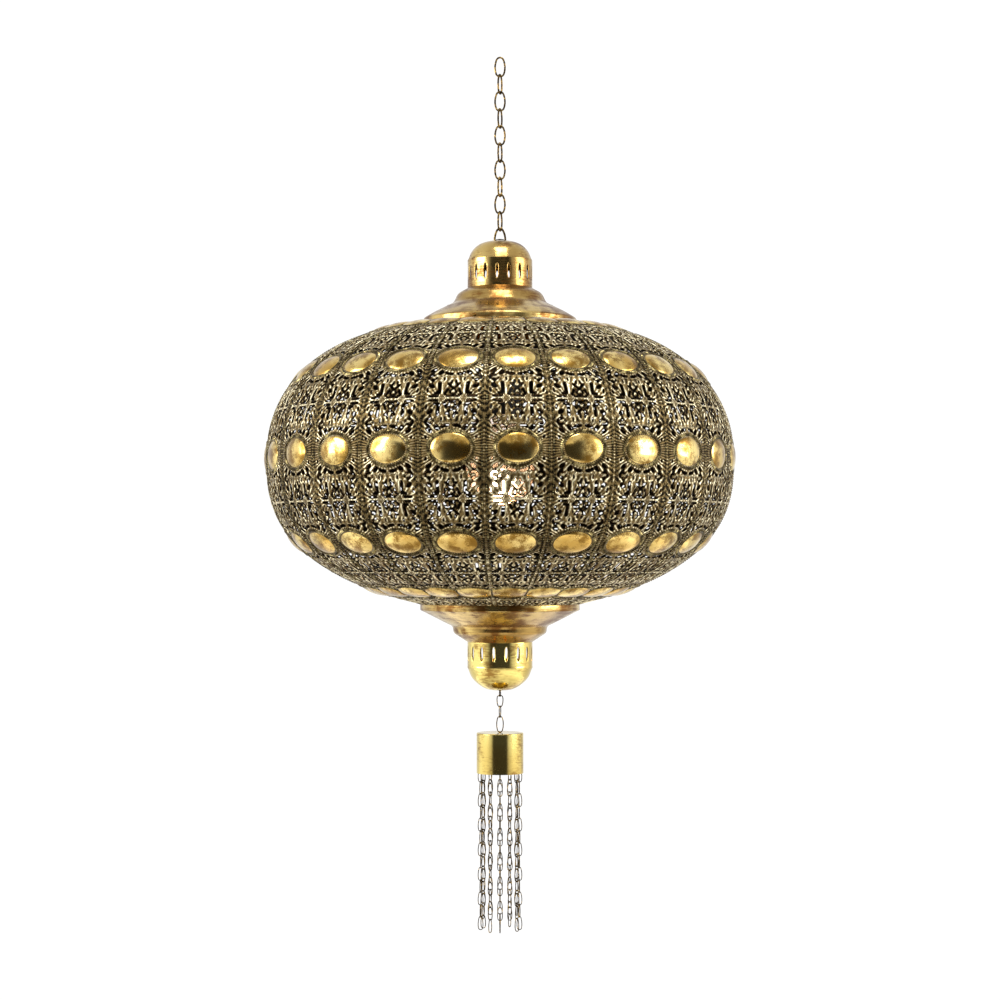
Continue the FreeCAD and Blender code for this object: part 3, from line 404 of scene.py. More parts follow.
FINISHES = {
    # stamped sheet brass, blackened in its hollows and rubbed on its ridges, so that the leaf work stands out
    "pierced": PiercedBrass("pierced_brass_antiqued", "#100D08", "#6F5D3B", "#F7ECC6"),
    # smooth domed brass under a thin lacquer: clear reflections, warmer where it has aged
    "medallion": Brass(
        "stamped_brass_polished", "#E6CC84", "#C09C50", "#7E5E26", (0.13, 0.28), 11.0, 0.3, Grain.CAST, 0.1
    ),
    # the milled rim round a medallion: satin, darker than the dome it holds
    "bezel": Brass(
        "milled_brass_rim", "#B8A873", "#7C6D46", "#2E2615", (0.26, 0.5), 5.0, 0.5, Grain.CAST, 0.3
    ),
    # a beaded edge, dull between its beads and bright on their tops
    "bead": Brass(
        "beaded_brass_seam", "#C9BB88", "#84764B", "#2A2212", (0.28, 0.55), 4.0, 0.55, Grain.CAST, 0.3
    ),
    # spun sheet brass: fine rings round the axis and brown clouds of age
    "spun": Brass(
        "spun_brass_aged", "#CBAF6C", "#A2834A", "#6E4A22", (0.17, 0.36), 20.0, 0.32, Grain.TURNED, 0.35
    ),
    # polished brass with faint turned rings: sharp bright and dark bands
    "cup": Brass(
        "cup_brass_polished", "#E2CE7C", "#CCB060", "#8A6A34", (0.13, 0.26), 24.0, 0.08, Grain.TURNED, 0.3
    ),
    # drawn brass wire, brown with age in patches
    "chain": Brass(
        "chain_brass_tarnished", "#CBA860", "#93723A", "#33291A", (0.3, 0.55), 3.0, 0.55, Grain.CAST, 0.3
    ),
    # thin bronze wire, dull and brown
    "fine_chain": Brass(
        "fine_chain_bronze", "#C8A868", "#93753E", "#2E2618", (0.32, 0.6), 2.4, 0.6, Grain.CAST, 0.3
    ),
    # turned brass fittings, hardly aged
    "plain_brass": Brass(
        "machined_brass", "#D8BC6A", "#B08E48", "#6B4A22", (0.25, 0.45), 8.0, 0.4, Grain.TURNED, 0.2
    ),
    # zinc-plated steel: cool grey and half bright
    "steel": Plain("zinc_plated_steel", "#B9BCBE", "#8E9296", 0.34, 1.0),
    # moulded phenolic plastic: black with a soft gloss
    "plastic": Plain("phenolic_plastic_black", "#16140F", "#201D18", 0.42),
    # glazed ceramic: warm white and glossy
    "ceramic": Plain("glazed_ceramic_white", "#E9E4D6", "#D8D0BE", 0.28),
    # the lamp is lit in its lower part only
    "glass": Plain(
        "clear_glass_lit", "#FFF6E8", "#E08A40", 0.12, 0.0, 0.9, 0.14, (LAMP_LOW + 0.022, LAMP_LOW + 0.04)
    ),
    # frosted glass round the glowing wire: even warm white
    "core": Plain("frosted_glass_lit", "#FFF4DC", "#FFE3C0", 0.4, 0.0, 7.0),
}


class Palette:
    """Makes each finish once and hands it out by name."""

    def __init__(self) -> None:
        """Starts with no finish made."""
        self.made: Dict[str, bpy.types.Material] = {}

    def get(self, name: str) -> bpy.types.Material:
        """Returns the finish of that name, making it the first time."""
        if name not in self.made:
            self.made[name] = FINISHES[name].make()
        return self.made[name]


# ---------------------------------------------------------------- geometry nodes


class Recipe:
    """A geometry node tree with named inputs."""

    def __init__(self, name: str, inputs: Sequence[Tuple[str, str]]) -> None:
        """Starts a tree.

        Args:
            name: The tree's name.
            inputs: (label, socket type) for each input after the geometry.
        """
        self.tree = bpy.data.node_groups.new(name, "GeometryNodeTree")
        face = self.tree.interface
        face.new_socket("Geometry", in_out="INPUT", socket_type="NodeSocketGeometry")
        self.ids = {
            label: face.new_socket(label, in_out="INPUT", socket_type=kind).identifier
            for label, kind in inputs
        }
        face.new_socket("Geometry", in_out="OUTPUT", socket_type="NodeSocketGeometry")
        self.given = add(self.tree, "NodeGroupInput").outputs

    def end(self, geometry: bpy.types.NodeSocket) -> None:
        """Joins the last node to the tree's output."""
        add(self.tree, "NodeGroupOutput", {0: geometry})

    def bake(self, host: bpy.types.Object, values: dict) -> bpy.types.Object:
        """Runs the tree on an object and keeps the plain mesh that it gives.

        Args:
            host: The object whose mesh goes in. It takes the new mesh.
            values: Input label to value.

        Returns:
            The host, with its new mesh and no modifier.
        """
        modifier = host.modifiers.new(self.tree.name, "NODES")
        modifier.node_group = self.tree
        for label, value in values.items():
            modifier[self.ids[label]] = value
        bpy.context.view_layer.update()
        evaluated = host.evaluated_get(bpy.context.evaluated_depsgraph_get())
        mesh = bpy.data.meshes.new_from_object(evaluated)
        old = host.data
        host.modifiers.remove(modifier)
        host.data = mesh
        bpy.data.meshes.remove(old)
        mesh.name = host.name
        return host


def ring_recipe() -> Recipe:
    """A tree that repeats its geometry about the upright axis and dresses its parts.

    Returns:
        The recipe, with the gores' count and turns, the beads' path and sizes, and four materials as inputs.
    """
    kinds = [("Count", "NodeSocketInt"), ("Step", "NodeSocketFloat"), ("First", "NodeSocketFloat")]
    kinds += [("Beads", "NodeSocketObject")]
    kinds += [("Bead radius", "NodeSocketFloat"), ("Bead pitch", "NodeSocketFloat")]
    kinds += [(name, "NodeSocketMaterial") for name in ("Sheet", "Dome", "Rim", "Bead")]
    recipe = Recipe("gores_round_the_axis", kinds)
    tree, given = recipe.tree, recipe.given
    path = add(tree, "GeometryNodeObjectInfo", {"Object": given["Beads"]}).outputs["Geometry"]
    curve = add(tree, "GeometryNodeMeshToCurve", {"Mesh": path}).outputs[0]
    spaced = add(
        tree, "GeometryNodeResampleCurve", {"Curve": curve, "Length": given["Bead pitch"]}, mode="LENGTH"
    ).outputs[0]
    bead = add(
        tree, "GeometryNodeMeshUVSphere", {"Segments": 5, "Rings": 3, "Radius": given["Bead radius"]}
    ).outputs[0]
    beads = add(tree, "GeometryNodeInstanceOnPoints", {"Points": spaced, "Instance": bead}).outputs[0]
    solid = add(tree, "GeometryNodeRealizeInstances", {0: beads}).outputs[0]
    smooth = add(tree, "GeometryNodeSetShadeSmooth", {0: solid, "Shade Smooth": True}).outputs[0]
    numbered = add(
        tree,
        "GeometryNodeStoreNamedAttribute",
        {"Geometry": smooth, "Name": "part", "Value": 3},
        data_type="INT",
        domain="FACE",
    ).outputs[0]
    joined = add(tree, "GeometryNodeJoinGeometry", {0: given["Geometry"]})
    tree.links.new(numbered, joined.inputs[0])
    points = add(
        tree, "GeometryNodeMeshLine", {"Count": given["Count"], "Offset": (0.0, 0.0, 0.0)}
    ).outputs[0]
    index = add(tree, "GeometryNodeInputIndex").outputs[0]
    turn = add(
        tree, "ShaderNodeMath", {0: index, 1: given["Step"], 2: given["First"]}, operation="MULTIPLY_ADD"
    ).outputs[0]
    spin = add(tree, "ShaderNodeCombineXYZ", {2: turn}).outputs[0]
    ring = add(
        tree,
        "GeometryNodeInstanceOnPoints",
        {"Points": points, "Instance": joined.outputs[0], "Rotation": spin},
    ).outputs[0]
    body = add(tree, "GeometryNodeRealizeInstances", {0: ring}).outputs[0]
    kind = add(tree, "GeometryNodeInputNamedAttribute", {"Name": "part"}, data_type="INT").outputs[0]
    for number, label in enumerate(("Sheet", "Dome", "Rim", "Bead")):
        chosen = add(
            tree, "FunctionNodeCompare", {2: kind, 3: number}, data_type="INT", operation="EQUAL"
        ).outputs[0]
        body = add(
            tree, "GeometryNodeSetMaterial", {"Geometry": body, "Selection": chosen, "Material": given[label]}
        ).outputs[0]
    recipe.end(body)
    return recipe


def links_recipe() -> Recipe:
    """A tree that sweeps a wire along a link's path and hangs a row of such links.

    Returns:
        The recipe, with the wire's radius, the row's count, pitch and turns, and the material as inputs.
    """
    kinds = [("Wire radius", "NodeSocketFloat"), ("Wire sides", "NodeSocketInt"), ("Count", "NodeSocketInt")]
    kinds += [("Pitch", "NodeSocketFloat"), ("Turn", "NodeSocketFloat"), ("First turn", "NodeSocketFloat")]
    kinds += [("Start", "NodeSocketVector"), ("Wander", "NodeSocketFloat"), ("Seed", "NodeSocketInt")]
    kinds += [("Metal", "NodeSocketMaterial")]
    recipe = Recipe("row_of_links", kinds)
    tree, given = recipe.tree, recipe.given
    path = add(tree, "GeometryNodeMeshToCurve", {"Mesh": given["Geometry"]}).outputs[0]
    section = add(
        tree,
        "GeometryNodeCurvePrimitiveCircle",
        {"Resolution": given["Wire sides"], "Radius": given["Wire radius"]},
    ).outputs[0]
    link = add(tree, "GeometryNodeCurveToMesh", {"Curve": path, "Profile Curve": section}).outputs[0]
    round_link = add(tree, "GeometryNodeSetShadeSmooth", {0: link, "Shade Smooth": True}).outputs[0]
    drop = add(tree, "ShaderNodeMath", {0: given["Pitch"], 1: -1.0}, operation="MULTIPLY").outputs[0]
    offset = add(tree, "ShaderNodeCombineXYZ", {2: drop}).outputs[0]
    row = add(
        tree,
        "GeometryNodeMeshLine",
        {"Count": given["Count"], "Start Location": given["Start"], "Offset": offset},
    ).outputs[0]
    index = add(tree, "GeometryNodeInputIndex").outputs[0]
    odd = add(tree, "ShaderNodeMath", {0: index, 1: 2.0}, operation="MODULO").outputs[0]
    base = add(
        tree, "ShaderNodeMath", {0: odd, 1: given["Turn"], 2: given["First turn"]}, operation="MULTIPLY_ADD"
    ).outputs[0]
    least = add(tree, "ShaderNodeMath", {0: given["Wander"], 1: -1.0}, operation="MULTIPLY").outputs[0]
    stray = add(
        tree,
        "FunctionNodeRandomValue",
        {2: least, 3: given["Wander"], "Seed": given["Seed"]},
        data_type="FLOAT",
    ).outputs[1]
    turn = add(tree, "ShaderNodeMath", {0: base, 1: stray}, operation="ADD").outputs[0]
    spin = add(tree, "ShaderNodeCombineXYZ", {2: turn}).outputs[0]
    hung = add(
        tree, "GeometryNodeInstanceOnPoints", {"Points": row, "Instance": round_link, "Rotation": spin}
    ).outputs[0]
    solid = add(tree, "GeometryNodeRealizeInstances", {0: hung}).outputs[0]
    recipe.end(add(
        tree, "GeometryNodeSetMaterial", {"Geometry": solid, "Material": given["Metal"]}
    ).outputs[0])
    return recipe


# ---------------------------------------------------------------- pierced sheet


def oval(x: Array, y: Array, at: Tuple[float, float], half: Tuple[float, float], turn: float = 0.0) -> Array:
    """Distance to an oval's edge, roughly, negative inside.

    Args:
        x: Places across.
        y: Places along.
        at: The oval's middle.
        half: Its half length and half width.
        turn: Degrees from the x axis to its length.
    """
    c, s = math.cos(math.radians(turn)), math.sin(math.radians(turn))
    u, v = (x - at[0]) * c + (y - at[1]) * s, (y - at[1]) * c - (x - at[0]) * s
    reach = np.hypot(u / half[0], v / half[1])
    slope = np.hypot(u / half[0] ** 2, v / half[1] ** 2) + 1e-9
    return np.where(reach < 0.3, (reach - 1) * min(half), (reach - 1) * reach / slope)


def slot(x: Array, y: Array, a: Tuple[float, float], b: Tuple[float, float], radius: float) -> Array:
    """Distance to the edge of a round-ended slot from a to b, negative inside."""
    dx, dy = b[0] - a[0], b[1] - a[1]
    t = np.clip(((x - a[0]) * dx + (y - a[1]) * dy) / (dx * dx + dy * dy), 0, 1)
    return np.hypot(x - a[0] - t * dx, y - a[1] - t * dy) - radius


def pierced_grid(
    across: Array,
    along: Array,
    holes: Callable[[Array, Array], Array],
    surface: Callable[[Array, Array, Array], Array],
    relief: Callable[[Array, Array, Array], Array],
    wall: float,
) -> Tuple[Array, List[Tuple[int, ...]], Array, Array]:
    """Makes a closed thin sheet with holes from a grid.

    Args:
        across: Place across the sheet of each grid point, rows by columns.
        along: Place along the sheet of each grid point.
        holes: Gives the distance to the nearest hole's edge, negative inside a hole.
        surface: Gives x, y, z for a place across, a place along and a height off the sheet.
        relief: Gives the outer face's height for a place and its distance to a hole.
        wall: The sheet's thickness.

    Returns:
        Points, faces, True for each smooth face, and each point's place across, place along, relief and
        distance to a hole.
    """
    x, y = across.copy(), along.copy()
    tiny = 0.05
    for _ in range(2):
        d = holes(x, y)
        gx = (holes(x + tiny, y) - holes(x - tiny, y)) / (2 * tiny)
        gy = (holes(x, y + tiny) - holes(x, y - tiny)) / (2 * tiny)
        size = np.hypot(gx, gy) + 1e-9
        step_x = np.abs(np.gradient(across, axis=1))
        step_y = np.abs(np.gradient(along, axis=0))
        near = np.abs(d) < SNAP * np.hypot(step_x, step_y)
        near[:, [0, -1]] = False
        near[[0, -1], :] = False
        move_x = np.clip(-d * gx / size, -MOVE * step_x, MOVE * step_x)
        move_y = np.clip(-d * gy / size, -MOVE * step_y, MOVE * step_y)
        x = np.where(near, x + move_x, x)
        y = np.where(near, y + move_y, y)
    d = holes(x, y)
    middle_x = (x[:-1, :-1] + x[1:, :-1] + x[:-1, 1:] + x[1:, 1:]) / 4
    middle_y = (y[:-1, :-1] + y[1:, :-1] + y[:-1, 1:] + y[1:, 1:]) / 4
    solid = holes(middle_x, middle_y) > 0
    rows, columns = x.shape
    number = np.arange(rows * columns).reshape(rows, columns)
    a, b, c, e = number[:-1, :-1], number[:-1, 1:], number[1:, 1:], number[1:, :-1]
    top = np.stack([a, b, c, e], -1)[solid]
    shift = rows * columns
    bottom = top[:, ::-1] + shift
    padded = np.pad(solid, 1)
    rims = []
    for first, last, dy, dx in ((a, b, -1, 0), (b, c, 0, 1), (c, e, 1, 0), (e, a, 0, -1)):
        open_side = solid & ~padded[1 + dy : padded.shape[0] - 1 + dy, 1 + dx : padded.shape[1] - 1 + dx]
        p, q = first[open_side], last[open_side]
        rims.append(np.stack([q, p, p + shift, q + shift], -1))
    rim = np.concatenate(rims)
    rise = relief(x, y, d)
    outer = surface(x, y, rise).reshape(-1, 3)
    inner = surface(x, y, np.full_like(x, -wall)).reshape(-1, 3)
    points = np.concatenate([outer, inner])
    faces = np.concatenate([top, bottom, rim])
    smooth = np.concatenate([np.ones(len(top) + len(bottom), bool), np.zeros(len(rim), bool)])
    used, back = np.unique(faces, return_inverse=True)
    faces = back.reshape(faces.shape)
    shown = [np.tile(x.ravel(), 2), np.tile(y.ravel(), 2), np.concatenate([rise.ravel(), -np.ones(shift)])]
    shown.append(np.tile(d.ravel(), 2))
    shown = np.stack(shown, -1)
    return points[used], faces.tolist(), smooth, shown[used]


# ---------------------------------------------------------------- shade


@dataclass
class Shade:
    """The pierced shade: twenty-four gores with stamped medallions.

    Attributes:
        radius: Outer radius at the widest.
        gores: Gores all round.
        per_node: Gores in each CAD node.
        first: Azimuth of the first gore, in degrees.
        wall: Sheet thickness.
        repeat: Length of the pattern's repeat along a gore.
        cell: Size of the sheet's mesh, a whole part of the repeat so that every repeat is cut alike.
        upper: Height and the two powers of the half above the middle.
        lower: The same for the half below.
        rims: Radii of the upper and lower openings.
        dome: Half length, half width and height of a medallion.
        rim: Width and height of a medallion's milled rim.
        teeth: Ridges round a milled rim.
        bead_at: Distance of the bead lines in from a gore's edges.
        bead: Bead radius and pitch.
        bead_reach: How far the bead lines run from the middle.
        shrink: How much narrower than its outline each piercing is, all round.
    """

    radius: float = 201.4
    gores: int = 24
    per_node: int = 3
    first: float = -86.0
    wall: float = 0.6
    repeat: float = 80.0
    cell: float = 80 / 60
    upper: Tuple[float, float, float] = (118.6, 2.84, 2.12)
    lower: Tuple[float, float, float] = (133.3, 1.752, 2.663)
    rims: Tuple[float, float] = (66.0, 68.2)
    dome: Tuple[float, float, float] = (17.45, 12.65, 2.7)
    rim: Tuple[float, float] = (2.25, 1.1)
    teeth: int = 60
    bead_at: float = 1.7
    bead: Tuple[float, float] = (0.75, 2.0)
    bead_reach: float = 140.0
    shrink: float = 0.26
    equator: float = field(init=False)

    def __post_init__(self) -> None:
        """Finds the middle's height and the profile by its length."""
        self.profile = self.trace()
        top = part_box("gores_01")[1].z / MM
        self.equator = top - float(self.profile[2][-1])

    def trace(self) -> Tuple[Array, Array, Array]:
        """Returns lengths along the profile from the middle, with the radius and height of each."""
        halves = []
        sides = ((self.upper, self.rims[0], 1), (self.lower, self.rims[1], -1))
        for (height, across, up), end, sign in sides:
            t = np.linspace(0, math.pi / 2, 20001)
            r = self.radius * np.cos(t) ** (2 / across)
            z = height * np.sin(t) ** (2 / up)
            keep = r >= end
            r, z = r[keep], z[keep] * sign
            s = np.concatenate([[0], np.cumsum(np.hypot(np.diff(r), np.diff(z)))]) * sign
            halves.append((s, r, z))
        (s_up, r_up, z_up), (s_low, r_low, z_low) = halves
        join = [np.concatenate([low[:0:-1], up]) for low, up in ((s_low, s_up), (r_low, r_up), (z_low, z_up))]
        return join[0], join[1], join[2]

    def half_width(self, s: Array) -> Array:
        """Half a gore's width at a length from the middle."""
        return np.interp(s, self.profile[0], self.profile[1]) * math.pi / self.gores

    def surface(self, x: Array, s: Array, lift: Array) -> Array:
        """Places points of a gore that faces +X.

        Args:
            x: Distance across from the gore's middle line.
            s: Length along from the widest height.
            lift: Height off the sheet's outer face.

        Returns:
            Points, with a last axis of x, y, z.
        """
        lengths, radii, heights = self.profile
        r = np.interp(s, lengths, radii)
        z = np.interp(s, lengths, heights)
        slope_r = (np.interp(s + 0.5, lengths, radii) - np.interp(s - 0.5, lengths, radii))
        slope_z = (np.interp(s + 0.5, lengths, heights) - np.interp(s - 0.5, lengths, heights))
        size = np.hypot(slope_r, slope_z) + 1e-9
        turn = x / r
        out = r + lift * slope_z / size
        up = z - lift * slope_r / size + self.equator
        return np.stack([out * np.cos(turn), out * np.sin(turn), up], -1)

    def tile(self, x: Array, s: Array) -> Tuple[Array, Array]:
        """Folds a place on the gore into one quarter of the pattern's repeat."""
        return np.abs(x), np.abs(s - self.repeat * np.round(s / self.repeat))

    def holes(self, x: Array, s: Array) -> Array:
        """Distance to the nearest piercing."""
        u, v = self.tile(x, s)
        shapes = [
            slot(u, v, (2.6, 17.7), (5.4, 17.4), 1.35),
            slot(u, v, (5.4, 17.4), (7.6, 16.2), 1.15),
            oval(u, v, (11.4, 16.1), (3.1, 1.75), 48),
            oval(u, v, (17.7, 13.9), (3.1, 1.75), 36),
            oval(u, v, (20.3, 8.6), (1.5, 1.1), 70),
            slot(u, v, (20.9, 20.6), (19.6, 18.6), 1.05),
            slot(u, v, (19.6, 18.6), (17.0, 18.8), 1.15),
            slot(u, v, (20.9, 20.6), (20.3, 22.2), 1.15),
            oval(u, v, (17.7, 23.5), (1.9, 1.3), 140),
            oval(u, v, (17.6, 28.8), (3.0, 1.8), 140),
            slot(u, v, (11.2, 26.4), (11.0, 34.6), 1.5),
            slot(u, v, (11.0, 35.2), (14.2, 35.5), 1.2),
            slot(u, v, (4.5, 27.0), (0.0, 31.6), 1.05),
            oval(u, v, (1.75, 25.0), (1.7, 0.9), 80),
            slot(u, v, (4.8, 32.2), (6.5, 36.3), 1.15),
            slot(u, v, (2.7, 33.2), (2.0, 36.0), 0.95),
            oval(u, v, (0.0, 37.2), (1.3, 1.3)),
            slot(u, v, (12.3, 38.2), (18.8, 38.2), 0.98),
            slot(u, v, (2.5, 38.3), (4.8, 38.3), 0.85),
            oval(u, v, (8.0, 22.4), (1.9, 0.75), 98),
            oval(u, v, (14.6, 22.0), (1.7, 0.8), 60),
            oval(u, v, (20.9, 33.0), (2.2, 0.85), 95),
        ]
        nearest = shapes[0]
        for shape in shapes[1:]:
            nearest = np.minimum(nearest, shape)
        nearest = nearest + self.shrink
        edge = self.half_width(s) - np.abs(x) - 1.5
        ends = np.minimum(self.profile[0][-1] - s, s - self.profile[0][0]) - 2.0
        return np.maximum(nearest, np.maximum(-edge, -ends))

    def fans(self, u: Array, v: Array) -> Array:
        """Phase of the leaf veins: one fan round each medallion, one spread from the bar between them."""
        ring = 52.0 * np.arctan2(v / self.dome[1], u / self.dome[0] + 0.01)
        spray = 30.0 * np.arctan2(self.repeat / 2 + 4.0 - v, np.abs(u - 9.0) + 0.5)
        return np.where(v < 19.5 + 0.1 * u, ring, spray)

    def relief(self, x: Array, s: Array, d: Array) -> Array:
        """Height of the stamped face: round ribs between the holes, a lip along each edge."""
        _, v = self.tile(x, s)
        ribs = 0.7 * (1 - np.exp(-np.maximum(d, 0) / 0.8))
        edge = self.half_width(s) - np.abs(x)
        lip = np.where(x > 0, 0.9, 0.4) * np.exp(-(((edge - 0.5) / 0.6) ** 2))
        bar = 0.2 * np.exp(-(((v - self.repeat / 2) / 0.55) ** 2))
        groove = 0.4 * np.exp(-(((edge - 1.9) / 0.9) ** 2))
        return ribs + lip * 0.35 + bar - groove

    def sheet(self) -> Tuple[Array, List, Array, Array]:
        """Builds one gore's pierced sheet."""
        low, high = self.profile[0][0], self.profile[0][-1]
        first, last = math.ceil(low / self.cell + 0.4), math.floor(high / self.cell - 0.4)
        columns = int(round(2 * self.radius * math.pi / self.gores / self.cell))
        s = np.concatenate([[low], self.cell * np.arange(first, last + 1), [high]])
        u = np.linspace(-1, 1, columns + 1)
        along = np.repeat(s[:, None], columns + 1, axis=1)
        across = u[None, :] * self.half_width(s)[:, None]
        return pierced_grid(across, along, self.holes, self.surface, self.relief, self.wall)

    def medallion(self, s: float, domed: bool) -> Tuple[Array, List, Array]:
        """Builds one medallion's dome or its milled rim, trimmed at the gore's edges.

        Args:
            s: Length along from the widest height to the medallion's middle.
            domed: True for the dome, False for the rim.

        Returns:
            Points, faces and the places across and along of each point.
        """
        a, b, height = self.dome
        width, rise = self.rim
        if domed:
            count = 40
            rings = [(0.02, height), (0.25, height * 0.97), (0.5, height * 0.84), (0.72, height * 0.62)]
            rings += [(0.87, height * 0.37), (0.97, height * 0.12), (1.0, -0.3), (0.02, -0.3)]
        else:
            count = self.teeth * 2
            rings = [(-0.25, -0.2), (-0.1, rise * 0.8), (0.35, rise * 1.1), (0.8, rise * 0.8)]
            rings += [(1.2, rise * 0.8), (width, rise * 0.35), (width + 0.1, -0.2)]
        turn = np.linspace(0, 2 * math.pi, count, endpoint=False)
        xs, ys, lifts = [], [], []
        for k, (place, lift) in enumerate(rings):
            ridge = np.where(np.arange(count) % 2 == 0, 1.0, 0.0) * (0 if domed or k not in (4, 5) else 0.45)
            if domed:
                xs.append(a * place * np.cos(turn))
                ys.append(b * place * np.sin(turn))
            else:
                xs.append((a + place) * np.cos(turn))
                ys.append((b + place) * np.sin(turn))
            lifts.append(lift + ridge)
        x, y = np.concatenate(xs), np.concatenate(ys) + s
        limit = self.half_width(y) - 0.2
        trimmed = np.clip(x, -limit, limit)
        y = np.clip(y, self.profile[0][0] + 0.3, self.profile[0][-1] - 0.3)
        points = self.surface(trimmed, y, np.concatenate(lifts))
        faces = []
        closed = len(rings) if not domed else len(rings) - 1
        for k in range(closed):
            here, there = k * count, ((k + 1) % len(rings)) * count
            for n in range(count):
                m = (n + 1) % count
                quad = (here + n, there + n, there + m, here + m)
                spread = trimmed[list(quad)]
                if np.ptp(spread) > 1e-6 or np.abs(spread).max() < limit[list(quad)].min() - 1e-6:
                    faces.append(quad)
        if domed:
            faces.append(tuple(range(count)))
            faces.append(tuple(range((len(rings) - 1) * count, len(rings) * count))[::-1])
        return points, faces, np.stack([trimmed, y, np.full(len(y), 0.5), np.full(len(y), 2.0)], -1)

    def gore(self) -> Tuple[bpy.types.Object, bpy.types.Object]:
        """Builds one gore facing +X, and the path that its beads follow."""
        points, faces, smooth, shown = self.sheet()
        kinds = [np.zeros(len(faces), np.int32)]
        all_points, all_faces, all_smooth, all_shown = [points], list(faces), [smooth], [shown]
        total = len(points)
        reach = int(self.profile[0][-1] // self.repeat)
        for row in range(-reach, reach + 1):
            for domed in (True, False):
                more, some, where = self.medallion(row * self.repeat, domed)
                all_faces += [[n + total for n in face] for face in some]
                total += len(more)
                all_points.append(more)
                all_shown.append(where)
                all_smooth.append(np.full(len(some), domed))
                kinds.append(np.full(len(some), 1 if domed else 2, np.int32))
        gore = mesh_object("gore", np.concatenate(all_points), all_faces, np.concatenate(all_smooth))
        shown = np.concatenate(all_shown)
        store(gore.data, "relief", np.clip(shown[:, 2], -1, 1.2))
        u, v = self.tile(shown[:, 0], shown[:, 1])
        store(gore.data, "edge", np.clip(shown[:, 3], 0, 1.9))
        store(gore.data, "fan", self.fans(u, v))
        gore.data.attributes.new("part", "INT", "FACE").data.foreach_set("value", np.concatenate(kinds))
        steps = int(self.bead_reach * 2 / self.bead[1])
        s = np.linspace(-self.bead_reach, self.bead_reach, steps + 1)
        inset = self.half_width(s) - self.bead_at
        lines = [self.surface(side * inset, s, np.full_like(s, 0.45)) for side in (-1, 1)]
        count = len(s)
        edges = [(n + k * count, n + 1 + k * count) for k in range(2) for n in range(count - 1)]
        return gore, mesh_object("bead_path", np.concatenate(lines), [], None, edges)

    def build(self, palette: Palette) -> List[bpy.types.Object]:
        """Builds every node's gores and puts them on the lantern.

        Args:
            palette: Where finishes come from.

        Returns:
            The finished pieces.
        """
        gore, path = self.gore()
        recipe = ring_recipe()
        step = 2 * math.pi / self.gores
        pieces = []
        for k in range(self.gores // self.per_node):
            host = bpy.data.objects.new(f"pierced_gores_{k + 1:02d}", gore.data.copy())
            bpy.context.scene.collection.objects.link(host)
            values = {
                "Count": self.per_node,
                "Step": step,
                "First": math.radians(self.first) + step * self.per_node * k,
                "Beads": path,
                "Bead radius": self.bead[0] * MM,
                "Bead pitch": self.bead[1] * MM,
                "Sheet": palette.get("pierced"),
                "Dome": palette.get("medallion"),
                "Rim": palette.get("bezel"),
                "Bead": palette.get("bead"),
            }
            pieces.append(recipe.bake(host, values))
            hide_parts(f"gores_{k + 1:02d}")
            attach(host, "lantern")
        for spare in (gore, path):
            bpy.data.objects.remove(spare)
        return pieces


# ---------------------------------------------------------------- spun pieces


